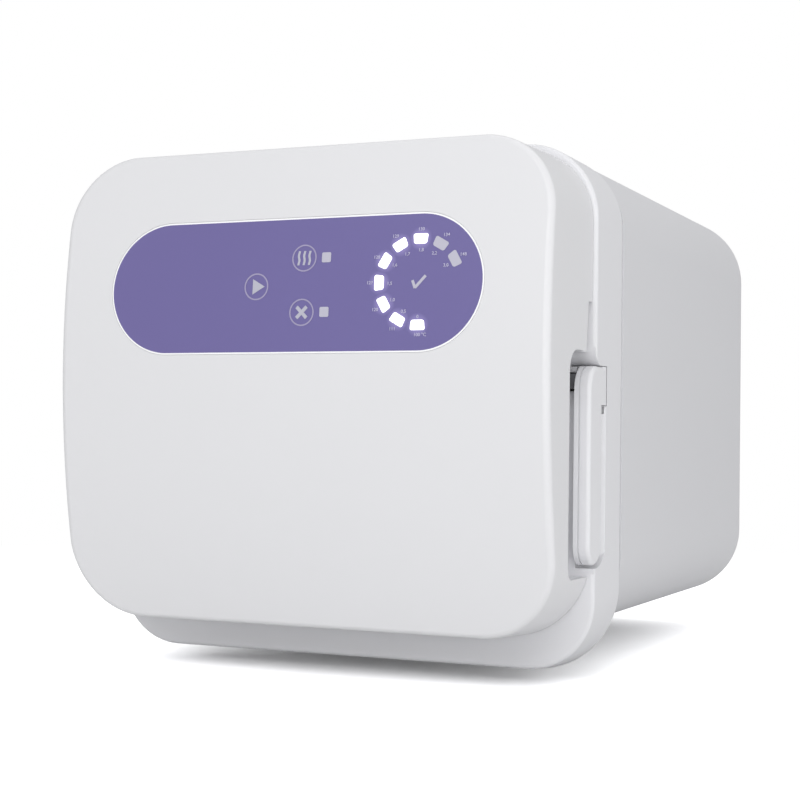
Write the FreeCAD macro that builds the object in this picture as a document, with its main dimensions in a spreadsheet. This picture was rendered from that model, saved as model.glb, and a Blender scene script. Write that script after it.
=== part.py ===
import FreeCAD, Part
import math
import os
import Sketcher

from FreeCAD import Placement, Rotation, Vector

# Small horizontal bench autoclave: crowned door with a control panel, fixed front bezel,
# moulded cabinet, side latch handle, and the pressure chamber with what works it inside.
# Frame: +X to the right of someone who faces the door, +Y towards the back, +Z up.
# The origin is on the bench, at the middle of the footprint.

# Driving dimensions in millimetres. Heights named rise are measured from the chamber's axis.
DIMENSIONS = {
    "overall_depth": 430.0,
    "axis_height": 157.5,
    "shell_gap": 0.4,
    "seat_gap": 0.1,
    "swing_gap": 0.3,
    # Cabinet cover
    "cabinet_width": 290.0,
    "cabinet_top": 289.0,
    "cabinet_floor": 25.0,
    "cabinet_radius_top": 46.0,
    "cabinet_radius_bottom": 44.0,
    "cabinet_rear_radius": 22.0,
    "cover_wall": 2.8,
    "rear_opening_width": 214.0,
    "rear_opening_height": 196.0,
    "rear_opening_radius": 12.0,
    # Front bezel
    "bezel_side_step": 0.4,
    "bezel_depth": 46.5,
    "bezel_top": 288.2,
    "bezel_front_bottom": 10.1,
    "bezel_rear_bottom": 4.2,
    "bezel_front_radius_top": 41.0,
    "bezel_front_radius_bottom": 36.5,
    "bezel_rear_radius_top": 42.0,
    "bezel_rear_radius_bottom": 47.6,
    "bezel_wall": 3.0,
    "bezel_edge_radius": 2.0,
    "bezel_tongue": 6.0,
    "mouth_radius": 104.0,
    "throat_radius": 94.0,
    "throat_wall": 2.5,
    # Door mouldings
    "door_side_step": 2.85,
    "door_top_rise": 126.5,
    "door_front_drop": 125.3,
    "door_rear_drop": 130.3,
    "door_depth": 69.0,
    "door_radius": 41.0,
    "door_rear_radius_top": 38.5,
    "door_rear_radius_bottom": 44.0,
    "door_edge_radius": 3.5,
    "door_wall": 3.0,
    "crown_radius": 492.4,
    "crown_rise": 14.0,
    "liner_wall": 2.5,
    "liner_skirt": 10.5,
    "liner_set_back": 1.5,
    "lid_hole_radius": 96.0,
    "boss_radius": 4.0,
    "liner_boss_x": 112.0,
    "liner_boss_rise": 96.0,
    # Control panel
    "panel_radius": 35.5,
    "panel_arc_spacing": 146.2,
    "panel_shift": -1.0,
    "panel_rise": 52.0,
    "film_thickness": 0.5,
    "film_gap": 0.3,
    "dial_x": 72.5,
    "dial_radius": 22.1,
    "key_x": 7.0,
    "key_spread": 14.1,
    "start_key_x": -20.2,
    "lamp_x": 20.1,
    "board_width": 196.0,
    "board_height": 66.0,
    "board_thickness": 1.6,
    "board_set_back": 14.0,
    "board_hole_x": 88.0,
    "board_hole_rise": 27.0,
    # Door bridge, lid and striker
    "bridge_height": 40.0,
    "bridge_sheet": 3.0,
    "bridge_front": 38.0,
    "bridge_leg": 27.0,
    "bridge_left_inset": 10.0,
    "bridge_right_inset": 19.0,
    "flange_set_back": 10.0,
    "flange_thickness": 6.0,
    "flange_radius": 92.0,
    "lid_radius": 87.5,
    "lid_sheet": 2.5,
    "lid_dish": 10.0,
    "lid_lip": 7.0,
    "gasket_inner_radius": 75.8,
    "gasket_outer_radius": 84.9,
    "stud_radius": 6.0,
    "stud_length": 38.0,
    "nut_flats": 19.0,
    "nut_height": 8.0,
    "striker_radius": 4.0,
    "striker_length": 44.0,
    # Chamber
    "chamber_radius": 75.0,
    "chamber_depth": 282.0,
    "chamber_sheet": 2.0,
    "chamber_corner": 20.0,
    "heater_start": 60.0,
    "heater_length": 150.0,
    "heater_thickness": 3.5,
    "jacket_thickness": 12.0,
    "frame_sheet": 4.0,
    "frame_left_inset": 12.0,
    "frame_right_inset": 24.0,
    "frame_half_height": 98.0,
    "saddle_place": 256.0,
    "saddle_sheet": 3.0,
    "saddle_width": 150.0,
    "base_sheet": 2.0,
    "base_width": 200.0,
    "base_edge": 14.0,
    "foot_radius": 13.0,
    "foot_front_x": 70.0,
    "foot_rear_x": 50.0,
    "foot_front": 92.0,
    "foot_rear": 292.0,
    # Hinge
    "hinge_inset": 0.5,
    "hinge_forward": 3.5,
    "hinge_eye_radius": 4.5,
    "hinge_pin_radius": 2.75,
    "hinge_running_gap": 0.05,
    "hinge_ear": 4.0,
    # Latch handle
    "pivot_inset": 6.0,
    "pivot_back": 15.5,
    "pivot_pin_radius": 2.0,
    "head_radius": 6.0,
    "head_top": 12.3,
    "head_bottom": 8.0,
    "grip_front": 11.0,
    "grip_back": 10.0,
    "grip_end": 91.4,
    "grip_corner": 13.0,
    "grip_shell_thickness": 5.6,
    "grip_inner_thickness": 3.2,
    "grip_edge_radius": 2.2,
    "seam_depth": 0.7,
    "grip_wall": 2.2,
    "lever_height": 8.0,
    "lever_eye_radius": 4.0,
    "pocket_front": 36.7,
    "pocket_top": 19.5,
    "pocket_bottom": 97.5,
    "pocket_corner": 12.0,
    "pocket_depth": 16.0,
    "pocket_wall": 2.0,
    "recess_depth": 11.0,
    "recess_slope_foot": 10.6,
    "recess_slope_top": 17.6,
    "recess_bottom": 93.2,
    "slit_top": 45.5,
    "slit_narrow": 6.5,
    "slit_wide": 10.2,
    # Trays
    "rack_half_width": 51.5,
    "rack_sheet": 1.5,
    "rack_length": 232.0,
    "rack_top": 47.0,
    "tray_pitch": 30.0,
    "tray_first_drop": 36.0,
    "tray_height": 10.0,
    "tray_sheet": 1.0,
    "tray_gap": 0.5,
    "tray_slots": 7.0,
    # Rear panel and services
    "outlet_reach": 12.0,
    "card_inset": 41.0,
    "card_length": 130.0,
    "panel_sheet": 2.0,
    "screw_radius": 1.5,
    "vent_width": 4.0,
    "vent_height": 56.0,
    "vent_pitch": 12.0,
    "vent_count": 13.0,
    "vent_rise": 46.0,
    "service_rise": -68.0,
    "inlet_x": 72.0,
    "switch_x": 30.0,
    "fuse_x": -6.0,
    "fuse_pitch": 24.0,
    "outlet_x": -76.0,
}

PARTS_FOLDER = "parts"
FACES_LEFT = Rotation(Vector(0, 1, 0), 90)
ALONG_Y = Rotation(Vector(1, 0, 0), -90)
UPRIGHT = Rotation()

doc = FreeCAD.newDocument("autoclave")
nodes = []


# A length together with the spreadsheet formula that gives it.
class Size:
    def __init__(self, value, formula):
        self.value = float(value)
        self.formula = formula

    def __add__(self, other):
        other = as_size(other)
        return Size(self.value + other.value, f"({self.formula} + {other.formula})")

    def __sub__(self, other):
        other = as_size(other)
        return Size(self.value - other.value, f"({self.formula} - {other.formula})")

    def __mul__(self, other):
        other = as_size(other)
        return Size(self.value * other.value, f"({self.formula} * {other.formula})")

    def __truediv__(self, other):
        other = as_size(other)
        return Size(self.value / other.value, f"({self.formula} / {other.formula})")

    def __neg__(self):
        return Size(-self.value, f"(0 - {self.formula})")

    def __radd__(self, other):
        return as_size(other) + self

    def __rsub__(self, other):
        return as_size(other) - self

    def __rmul__(self, other):
        return as_size(other) * self


def as_size(number):
    if isinstance(number, Size):
        return number
    text = f"{abs(float(number)):.6f}"
    return Size(number, text if number >= 0 else f"(0 - {text})")


def root(size):
    return Size(math.sqrt(size.value), f"sqrt({size.formula})")


# The driving dimensions, one row each, with the name as the cell's alias.
def fill_sheet():
    sheet = doc.addObject("Spreadsheet::Sheet", "dims")
    for row, (name, value) in enumerate(DIMENSIONS.items(), start=1):
        sheet.set(f"A{row}", name)
        sheet.set(f"B{row}", str(value))
        sheet.setAlias(f"B{row}", name)
    doc.recompute()


class Dimensions:
    def __getattr__(self, name):
        return Size(DIMENSIONS[name], f"dims.{name}")


d = Dimensions()
fill_sheet()

# Planes that most pieces are placed from
FRONT = -(d.overall_depth + d.outlet_reach) / 2
PARTING = FRONT + d.door_depth
REAR = FRONT + d.overall_depth
FLANGE_FACE = PARTING + d.flange_set_back
FRAME_FRONT = FLANGE_FACE + d.flange_thickness
FRAME_REAR = FRAME_FRONT + d.frame_sheet
BEZEL_REAR = PARTING + d.bezel_depth
PANEL_FACE = REAR - d.cover_wall
PANEL_INSIDE = PANEL_FACE - d.panel_sheet
BASE_UNDER = d.cabinet_floor + d.cover_wall
BASE_TOP = BASE_UNDER + d.base_sheet
CHAMBER_END = FLANGE_FACE + d.chamber_depth + d.chamber_sheet
CHAMBER_OUTSIDE = d.chamber_radius + d.chamber_sheet
BRIDGE_FRONT = PARTING - d.bridge_front
BRIDGE_INSIDE = BRIDGE_FRONT + d.bridge_sheet
LID_FRONT = PARTING
HINGE_Y = PARTING - d.hinge_forward
PIVOT_Y = PARTING + d.pivot_back
CROWN_Y = FRONT + d.crown_radius
CROWN_Z = d.axis_height + d.crown_rise
BOARD_FRONT = FRONT + d.board_set_back
LINER_REAR = PARTING - d.liner_set_back
LINER_PLATE = LINER_REAR - d.liner_wall
LOW_SERVICES = d.axis_height + d.service_rise

# Places along X that follow the cabinet's width. The grip's outer face is flush with the cabinet.
SIDE = d.cabinet_width / 2
BEZEL_SIDE = SIDE - d.bezel_side_step
DOOR_SIDE = SIDE - d.door_side_step
HINGE_X = SIDE - d.hinge_inset
PIVOT_X = SIDE - d.pivot_inset
GRIP_SPLIT_X = SIDE - d.grip_shell_thickness
GRIP_INNER_X = GRIP_SPLIT_X - d.grip_inner_thickness
POCKET_FLOOR_X = SIDE - d.pocket_depth
RECESS_FLOOR_X = SIDE - d.recess_depth
FRAME_LEFT = SIDE - d.frame_left_inset
FRAME_RIGHT = SIDE - d.frame_right_inset
BRIDGE_LEFT = SIDE - d.bridge_left_inset
BRIDGE_RIGHT = SIDE - d.bridge_right_inset


def rise(size):
    return d.axis_height + size


# The door's crowned front surface at a given height
def crown_at(height):
    drop = height - CROWN_Z
    return CROWN_Y - root(d.crown_radius * d.crown_radius - drop * drop)


def bind(thing, path, size):
    thing.setExpression(path, as_size(size).formula)


def put(thing, x, y, z, turn=UPRIGHT):
    place = [as_size(value) for value in (x, y, z)]
    thing.Placement = Placement(Vector(*[size.value for size in place]), turn)
    for axis, size in zip("xyz", place):
        bind(thing, f"Placement.Base.{axis}", size)
    return thing


def block(name, x0, x1, y0, y1, z0, z1):
    thing = doc.addObject("Part::Box", name)
    spans = {"Length": x1 - as_size(x0), "Width": y1 - as_size(y0), "Height": z1 - as_size(z0)}
    for path, size in spans.items():
        bind(thing, path, size)
    return put(thing, x0, y0, z0)


def rod(name, radius, length, x, y, z, turn=ALONG_Y):
    thing = doc.addObject("Part::Cylinder", name)
    bind(thing, "Radius", radius)
    bind(thing, "Height", length)
    return put(thing, x, y, z, turn)


def hexagon(name, flats, length, x, y, z, turn=ALONG_Y):
    thing = doc.addObject("Part::Prism", name)
    thing.Polygon = 6
    bind(thing, "Circumradius", flats / 1.7320508)
    bind(thing, "Height", length)
    return put(thing, x, y, z, turn)


def fuse(name, things):
    thing = doc.addObject("Part::MultiFuse", name)
    thing.Shapes = things
    return thing


def common(name, things):
    thing = doc.addObject("Part::MultiCommon", name)
    thing.Shapes = things
    return thing


def cut(name, base, tools):
    thing = doc.addObject("Part::Cut", name)
    thing.Base = base
    thing.Tool = tools[0] if len(tools) == 1 else fuse(name + "_tools", tools)
    return thing


def group(name, things):
    thing = doc.addObject("Part::Compound", name)
    thing.Links = things
    return thing


def node(thing, name):
    thing.Label = name
    nodes.append(thing)
    return thing


def new_body(name):
    return doc.addObject("PartDesign::Body", name)


# An empty sketch on one of the body's own origin planes, moved along that plane's normal
def new_sketch(body, name, role, offset=0):
    sketch = body.newObject("Sketcher::SketchObject", name)
    plane = [item for item in body.Origin.OriginFeatures if item.Role == role][0]
    sketch.AttachmentSupport = [(plane, "")]
    sketch.MapMode = "FlatFace"
    offset = as_size(offset)
    sketch.AttachmentOffset = Placement(Vector(0, 0, offset.value), Rotation())
    bind(sketch, "AttachmentOffset.Base.z", offset)
    return sketch


def pin_point(sketch, name, geometry, position, x, y):
    for kind, letter, size in (("DistanceX", "across", x), ("DistanceY", "up", y)):
        index = sketch.addConstraint(Sketcher.Constraint(kind, -1, 1, geometry, position, size.value))
        label = f"{name}_{letter}"
        sketch.renameConstraint(index, label)
        bind(sketch, f"Constraints.{label}", size)


# Centre of the arc that leaves start, turns by its radius to the left, and ends at finish.
# A negative radius turns to the right.
def arc_centre(start, finish, radius):
    chord = finish - start
    height = math.sqrt(max(radius * radius - chord.Length ** 2 / 4, 0.0))
    side = Vector(-chord.y, chord.x, 0).normalize()
    return (start + finish) * 0.5 + side * math.copysign(height, radius)


def angle_of(vector):
    return math.atan2(vector.y, vector.x)


# A closed outline from its corners (x, y), each followed by a straight edge,
# or by an arc where the corner carries a radius.
def outline(sketch, corners):
    corners = [tuple(as_size(value) for value in corner) for corner in corners]
    places = [Vector(corner[0].value, corner[1].value, 0) for corner in corners]
    first = sketch.GeometryCount
    ends = []
    for number, corner in enumerate(corners):
        start = places[number]
        finish = places[(number + 1) % len(places)]
        if len(corner) == 2:
            index = sketch.addGeometry(Part.LineSegment(start, finish))
            ends.append((index, 1, 2))
            continue
        radius = corner[2].value
        centre = arc_centre(start, finish, radius)
        circle = Part.Circle(centre, Vector(0, 0, 1), abs(radius))
        angles = [angle_of(start - centre), angle_of(finish - centre)]
        if radius < 0:
            angles.reverse()
        index = sketch.addGeometry(Part.ArcOfCircle(circle, angles[0], angles[1]))
        ends.append((index, 1, 2) if radius > 0 else (index, 2, 1))
    for number, corner in enumerate(corners):
        index, start, finish = ends[number]
        after, after_start, after_finish = ends[(number + 1) % len(ends)]
        sketch.addConstraint(Sketcher.Constraint("Coincident", index, finish, after, after_start))
        pin_point(sketch, f"corner{first + number}", index, start, corner[0], corner[1])
        if len(corner) == 3:
            size = corner[2] if corner[2].value > 0 else -corner[2]
            fixed = sketch.addConstraint(Sketcher.Constraint("Radius", index, size.value))
            sketch.renameConstraint(fixed, f"bend{first + number}")
            bind(sketch, f"Constraints.bend{first + number}", size)


def disc(sketch, x, y, radius):
    x, y, radius = as_size(x), as_size(y), as_size(radius)
    circle = Part.Circle(Vector(x.value, y.value, 0), Vector(0, 0, 1), radius.value)
    index = sketch.addGeometry(circle)
    pin_point(sketch, f"disc{index}", index, 3, x, y)
    fixed = sketch.addConstraint(Sketcher.Constraint("Radius", index, radius.value))
    sketch.renameConstraint(fixed, f"size{index}")
    bind(sketch, f"Constraints.size{index}", radius)


def extrude(body, sketch, length):
    pad = body.newObject("PartDesign::Pad", body.Name + "_pad")
    pad.Profile = sketch
    bind(pad, "Length", length)
    return pad


# A solid padded along X from x0 to x1 over an outline in Y and Z
def slab_x(name, x0, x1, corners):
    body = new_body(name)
    sketch = new_sketch(body, name + "_outline", "YZ_Plane", x0)
    outline(sketch, corners)
    extrude(body, sketch, as_size(x1) - x0)
    return body


# A solid padded along Z from z0 to z1 over an outline in X and Y
def slab_z(name, z0, z1, corners):
    body = new_body(name)
    sketch = new_sketch(body, name + "_outline", "XY_Plane", z0)
    outline(sketch, corners)
    extrude(body, sketch, as_size(z1) - z0)
    return body


# A solid padded along Y from y0 to y1 over an outline in X and Z
def slab_y(name, y0, y1, corners):
    body = new_body(name)
    sketch = new_sketch(body, name + "_outline", "XZ_Plane", -as_size(y0))
    outline(sketch, corners)
    pad = extrude(body, sketch, as_size(y1) - y0)
    pad.Reversed = True
    return body


# A solid turned about an axis along Y, from corners (radius, distance behind the plane at y)
def turned(name, x, y, z, corners, turn=UPRIGHT):
    body = new_body(name)
    sketch = new_sketch(body, name + "_section", "XY_Plane")
    outline(sketch, corners)
    spin = body.newObject("PartDesign::Revolution", name + "_turn")
    spin.Profile = sketch
    spin.ReferenceAxis = (sketch, ["V_Axis"])
    spin.Angle = 360
    return put(body, x, y, z, turn)


# Corners of an upright rounded outline, symmetric about X = 0
def rounded(half_width, bottom, top, radius_bottom, radius_top):
    return [
        (half_width - radius_bottom, bottom, radius_bottom),
        (half_width, bottom + radius_bottom),
        (half_width, top - radius_top, radius_top),
        (half_width - radius_top, top),
        (radius_top - half_width, top, radius_top),
        (-half_width, top - radius_top),
        (-half_width, bottom + radius_bottom, radius_bottom),
        (radius_bottom - half_width, bottom),
    ]


def rectangle(x0, x1, y0, y1, radius=None):
    if radius is None:
        return [(x0, y0), (x1, y0), (x1, y1), (x0, y1)]
    x0, x1, y0, y1 = (as_size(value) for value in (x0, x1, y0, y1))
    return [
        (x1 - radius, y0, radius), (x1, y0 + radius),
        (x1, y1 - radius, radius), (x1 - radius, y1),
        (x0 + radius, y1, radius), (x0, y1 - radius),
        (x0, y0 + radius, radius), (x0 + radius, y0),
    ]


# A moulding drawn through outlines in X and Z, each given with its place along Y
def drawn(name, sections):
    body = new_body(name)
    sketches = []
    for number, (y, corners) in enumerate(sections):
        sketch = new_sketch(body, f"{name}_outline_{number}", "XZ_Plane", -as_size(y))
        outline(sketch, corners)
        sketches.append(sketch)
    loft = body.newObject("PartDesign::AdditiveLoft", name + "_loft")
    loft.Profile = sketches[0]
    loft.Sections = sketches[1:]
    loft.Ruled = True
    return body


# Rounded edges on a finished solid, for the edges that pass the test
def rounded_edges(name, base, radius, test):
    doc.recompute()
    edges = [number for number, edge in enumerate(base.Shape.Edges, start=1) if test(edge)]
    thing = doc.addObject("Part::Fillet", name)
    thing.Base = base
    thing.Edges = [(number, radius.value, radius.value) for number in edges]
    return thing


def lies_between(edge, axis, low, high):
    box = edge.BoundBox
    near = getattr(box, axis + "Min")
    far = getattr(box, axis + "Max")
    return near >= low and far <= high


# Door: the crowned outer moulding

def door_solid(name, inset, y_end):
    half = DOOR_SIDE - inset
    front = rounded(half, rise(-d.door_front_drop) + inset, rise(d.door_top_rise) - inset,
                    d.door_radius - inset, d.door_radius - inset)
    rear = rounded(half, rise(-d.door_rear_drop) + inset, rise(d.door_top_rise) - inset,
                   d.door_rear_radius_bottom - inset, d.door_rear_radius_top - inset)
    block_out = drawn(name + "_draw", [(FRONT - 1, front), (y_end, rear)])
    barrel = crown_barrel(name + "_crown", inset)
    return common(name, [block_out, barrel])


def crown_barrel(name, inset):
    return rod(name, d.crown_radius - inset, 2 * DOOR_SIDE + 20, -DOOR_SIDE - 10, CROWN_Y, CROWN_Z,
               FACES_LEFT)


def stadium(name, extra):
    radius = d.panel_radius + extra
    left = d.panel_shift - d.panel_arc_spacing / 2
    right = d.panel_shift + d.panel_arc_spacing / 2
    height = rise(d.panel_rise)
    return slab_y(name, FRONT - 5, FRONT + 12, [
        (left, height + radius, radius), (left - radius, height, radius), (left, height - radius),
        (right, height - radius, radius), (right + radius, height, radius), (right, height + radius),
    ])


# Outline in Y and Z of the finger pocket in the door's side, open at the rear
def pocket_outline(grow, rear):
    front = PARTING - d.pocket_front - grow
    bottom = rise(-d.pocket_bottom) - grow
    top = rise(d.pocket_top) + grow
    radius = d.pocket_corner + grow
    return [
        (rear, bottom), (rear, top), (front + radius, top, radius), (front, top - radius),
        (front, bottom + radius, radius), (front + radius, bottom),
    ]


def hinge_relief(name):
    return rod(name, d.hinge_eye_radius + 0.8, d.bridge_height + 2 * d.hinge_ear + 3,
               -HINGE_X, HINGE_Y, rise(-(d.bridge_height + 2 * d.hinge_ear + 3) / 2), UPRIGHT)


# Slots through the door's side wall and liner for the bridge's two hinge ears
def ear_slots(name, y0, y1, inner, outer):
    slots = []
    for side, low in (("low", -outer), ("high", inner)):
        slots.append(block(f"{name}_{side}", -HINGE_X - 8, -HINGE_X + 22, y0, y1,
                           rise(low) - d.swing_gap, rise(low) + (outer - inner) + d.swing_gap))
    return slots


def liner_boss_places():
    places = []
    for x in (-d.liner_boss_x, d.liner_boss_x):
        for height in (-d.liner_boss_rise, d.liner_boss_rise):
            places.append((x, rise(height)))
    return places


def board_places():
    places = []
    for x in (-d.board_hole_x, d.board_hole_x):
        for height in (-d.board_hole_rise, d.board_hole_rise):
            places.append((d.panel_shift + x, rise(d.panel_rise) + height))
    return places


def make_door_fascia():
    outer = door_solid("fascia_outer", as_size(0), PARTING - d.shell_gap)
    outer = rounded_edges("fascia_soft", outer, d.door_edge_radius,
                          lambda edge: lies_between(edge, "Y", FRONT.value - 1, FRONT.value + 24)
                          and len(edge.Vertexes) == 2 and touches_crown(edge))
    inner = door_solid("fascia_inner", d.door_wall, PARTING + 2)
    shell = cut("fascia_shell", outer, [inner])
    bosses = []
    for number, (x, z) in enumerate(liner_boss_places()):
        start = crown_at(z) + d.door_wall / 2
        bosses.append(rod(f"liner_boss_{number}", d.boss_radius, LINER_PLATE - start, x, start, z))
    for number, (x, z) in enumerate(board_places()):
        start = crown_at(z) + d.door_wall / 2
        bosses.append(rod(f"board_boss_{number}", d.boss_radius, BOARD_FRONT - start, x, start, z))
    with_bosses = fuse("fascia_bosses", [shell] + bosses)
    holes = []
    for number, (x, z) in enumerate(liner_boss_places()):
        holes.append(rod(f"liner_hole_{number}", 1.6, 14, x, LINER_PLATE - 12, z))
    for number, (x, z) in enumerate(board_places()):
        holes.append(rod(f"board_hole_{number}", 1.3, 8, x, BOARD_FRONT - 7, z))
    recess_floor = crown_barrel("recess_floor", d.film_thickness)
    recess = cut("panel_recess", stadium("panel_cutter", d.film_gap), [recess_floor])
    panel_z = rise(d.panel_rise)
    windows = [rod("dial_window", d.dial_radius + 5, 20, d.dial_x, FRONT - 2, panel_z)]
    for number, (x, z) in enumerate(key_places()):
        windows.append(rod(f"key_window_{number}", 4.5, 20, x, FRONT - 2, z))
    for number, (x, z) in enumerate(lamp_places()):
        windows.append(rod(f"lamp_window_{number}", 3.5, 20, x, FRONT - 2, z))
    notch = slab_x("pocket_notch", DOOR_SIDE - 9, DOOR_SIDE + 3, pocket_outline(0, PARTING + 3))
    slit = slab_x("relief_slit", DOOR_SIDE - 3.3, DOOR_SIDE + 3, [
        (PARTING - d.slit_wide, rise(d.pocket_top) - 2), (PARTING + 3, rise(d.pocket_top) - 2),
        (PARTING + 3, rise(d.slit_top)), (PARTING - d.slit_narrow, rise(d.slit_top)),
    ])
    reliefs = [hinge_relief("fascia_hinge_relief")]
    reliefs += ear_slots("fascia_ear", HINGE_Y - 12, PARTING + 2, d.bridge_height / 2 - d.bridge_sheet,
                         d.bridge_height / 2 + 0.5 + d.hinge_ear)
    node(cut("fascia", with_bosses, holes + [recess] + windows + [notch, slit] + reliefs), "door_fascia")


def touches_crown(edge):
    for vertex in edge.Vertexes:
        across = vertex.Point - Vector(vertex.Point.x, CROWN_Y.value, CROWN_Z.value)
        if abs(across.Length - d.crown_radius.value) > 0.01:
            return False
    return True


def key_places():
    middle = rise(d.panel_rise)
    return [(d.start_key_x, middle), (d.key_x, middle + d.key_spread), (d.key_x, middle - d.key_spread)]


def lamp_places():
    middle = rise(d.panel_rise)
    return [(d.lamp_x, middle + d.key_spread), (d.lamp_x, middle - d.key_spread)]


def dial_places():
    places = []
    for step in range(9):
        angle = math.radians(-90 - 30 * step)
        x = d.dial_x + d.dial_radius * round(math.cos(angle), 6)
        places.append((x, rise(d.panel_rise) + d.dial_radius * round(math.sin(angle), 6)))
    return places


def make_control_panel():
    back = crown_barrel("film_back", d.film_thickness)
    skin = cut("film_skin", crown_barrel("film_face", as_size(0)), [back])
    node(common("film", [stadium("film_outline", as_size(0)), skin]), "control_overlay")
    board = slab_y("board", BOARD_FRONT, BOARD_FRONT + d.board_thickness, rectangle(
        d.panel_shift - d.board_width / 2, d.panel_shift + d.board_width / 2,
        rise(d.panel_rise) - d.board_height / 2, rise(d.panel_rise) + d.board_height / 2))
    holes = [rod(f"board_bore_{n}", 1.6, 6, x, BOARD_FRONT - 2, z)
             for n, (x, z) in enumerate(board_places())]
    node(cut("board_drilled", board, holes), "control_board")
    switches = []
    for number, (x, z) in enumerate(key_places()):
        body = block(f"switch_case_{number}", x - 3, x + 3, BOARD_FRONT - 3.5, BOARD_FRONT, z - 3, z + 3)
        tip = crown_at(z) + d.film_thickness + d.swing_gap
        stem = rod(f"switch_stem_{number}", 1.75, BOARD_FRONT - 3 - tip, x, tip, z)
        switches.append(fuse(f"switch_{number}", [body, stem]))
    node(group("switches", switches), "key_switches")
    lamps = []
    for number, (x, z) in enumerate(dial_places() + lamp_places()):
        lamps.append(block(f"lamp_{number}", x - 1.5, x + 1.5, BOARD_FRONT - 2.5, BOARD_FRONT,
                           z - 1.5, z + 1.5))
    node(group("lamps", lamps), "status_lamps")
    screws = []
    for number, (x, z) in enumerate(board_places()):
        rear = BOARD_FRONT + d.board_thickness
        head = rod(f"board_screw_head_{number}", 2.75, 2, x, rear, z)
        shank = rod(f"board_screw_shank_{number}", 1.25, 7, x, rear - 6.5, z)
        screws.append(fuse(f"board_screw_{number}", [head, shank]))
    node(group("board_screw_set", screws), "board_screws")


def make_door_liner():
    gap = d.door_wall + d.shell_gap
    outer_half = DOOR_SIDE - gap
    outer = rounded(outer_half, rise(-d.door_rear_drop) + gap + 0.8, rise(d.door_top_rise) - gap,
                    d.door_rear_radius_bottom - gap, d.door_rear_radius_top - gap)
    wall = d.liner_wall
    inner = rounded(outer_half - wall, rise(-d.door_rear_drop) + gap + wall + 0.8,
                    rise(d.door_top_rise) - gap - wall,
                    d.door_rear_radius_bottom - gap - wall, d.door_rear_radius_top - gap - wall)
    skirt = slab_y("liner_outer", LINER_REAR - d.liner_skirt, LINER_REAR, outer)
    hollow = slab_y("liner_inner", LINER_REAR - d.liner_skirt - 2, LINER_PLATE, inner)
    mouth = rod("liner_mouth", d.lid_hole_radius, 20, 0, LINER_REAR - 12, d.axis_height)
    pocket = slab_x("liner_pocket", POCKET_FLOOR_X - d.pocket_wall - d.seat_gap * 3, DOOR_SIDE + 5,
                    pocket_outline(d.pocket_wall + d.seat_gap * 3, PARTING + 5))
    holes = [rod(f"liner_bore_{n}", 1.8, 8, x, LINER_PLATE - 2, z)
             for n, (x, z) in enumerate(liner_boss_places())]
    slots = ear_slots("liner_ear", HINGE_Y - 12, PARTING + 2, d.bridge_height / 2 - d.bridge_sheet,
                      d.bridge_height / 2 + 0.5 + d.hinge_ear)
    slots.append(block("liner_claw_slot", PIVOT_X - 24.5, POCKET_FLOOR_X, LINER_REAR - 14, PARTING + 2,
                       rise(-1.5), rise(0) + d.lever_height + 1.5))
    tools = [hollow, mouth, pocket, hinge_relief("liner_hinge_relief")] + holes + slots
    node(cut("liner", skirt, tools), "door_liner")
    screws = []
    for number, (x, z) in enumerate(liner_boss_places()):
        head = rod(f"liner_screw_head_{number}", 3, 1, x, LINER_REAR, z)
        shank = rod(f"liner_screw_shank_{number}", 1.5, 12, x, LINER_REAR - 11, z)
        screws.append(fuse(f"liner_screw_{number}", [head, shank]))
    node(group("liner_screw_set", screws), "liner_screws")
    magnet_z = rise(d.liner_boss_rise) + 8
    node(block("magnet", 66, 78, LINER_PLATE - 5, LINER_PLATE, magnet_z, magnet_z + 6), "door_magnet")


def make_handle_pocket():
    inside = POCKET_FLOOR_X - d.pocket_wall
    rim = DOOR_SIDE - d.door_wall - d.seat_gap
    outer = slab_x("pocket_outer", inside, rim, pocket_outline(d.pocket_wall, PARTING - d.shell_gap))
    hollow = slab_x("pocket_hollow", POCKET_FLOOR_X, rim + 3, pocket_outline(0, PARTING + 3))
    window = block("pocket_window", inside - 2, rim + 1, PARTING - d.pocket_front + 1.2, PARTING + 3,
                   rise(-2), rise(13))
    door_inside = door_solid("pocket_trim", d.door_wall + d.seat_gap, PARTING + 2)
    trimmed = common("pocket_trimmed", [outer, door_inside])
    node(cut("pocket", trimmed, [hollow, window]), "handle_pocket")


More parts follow.
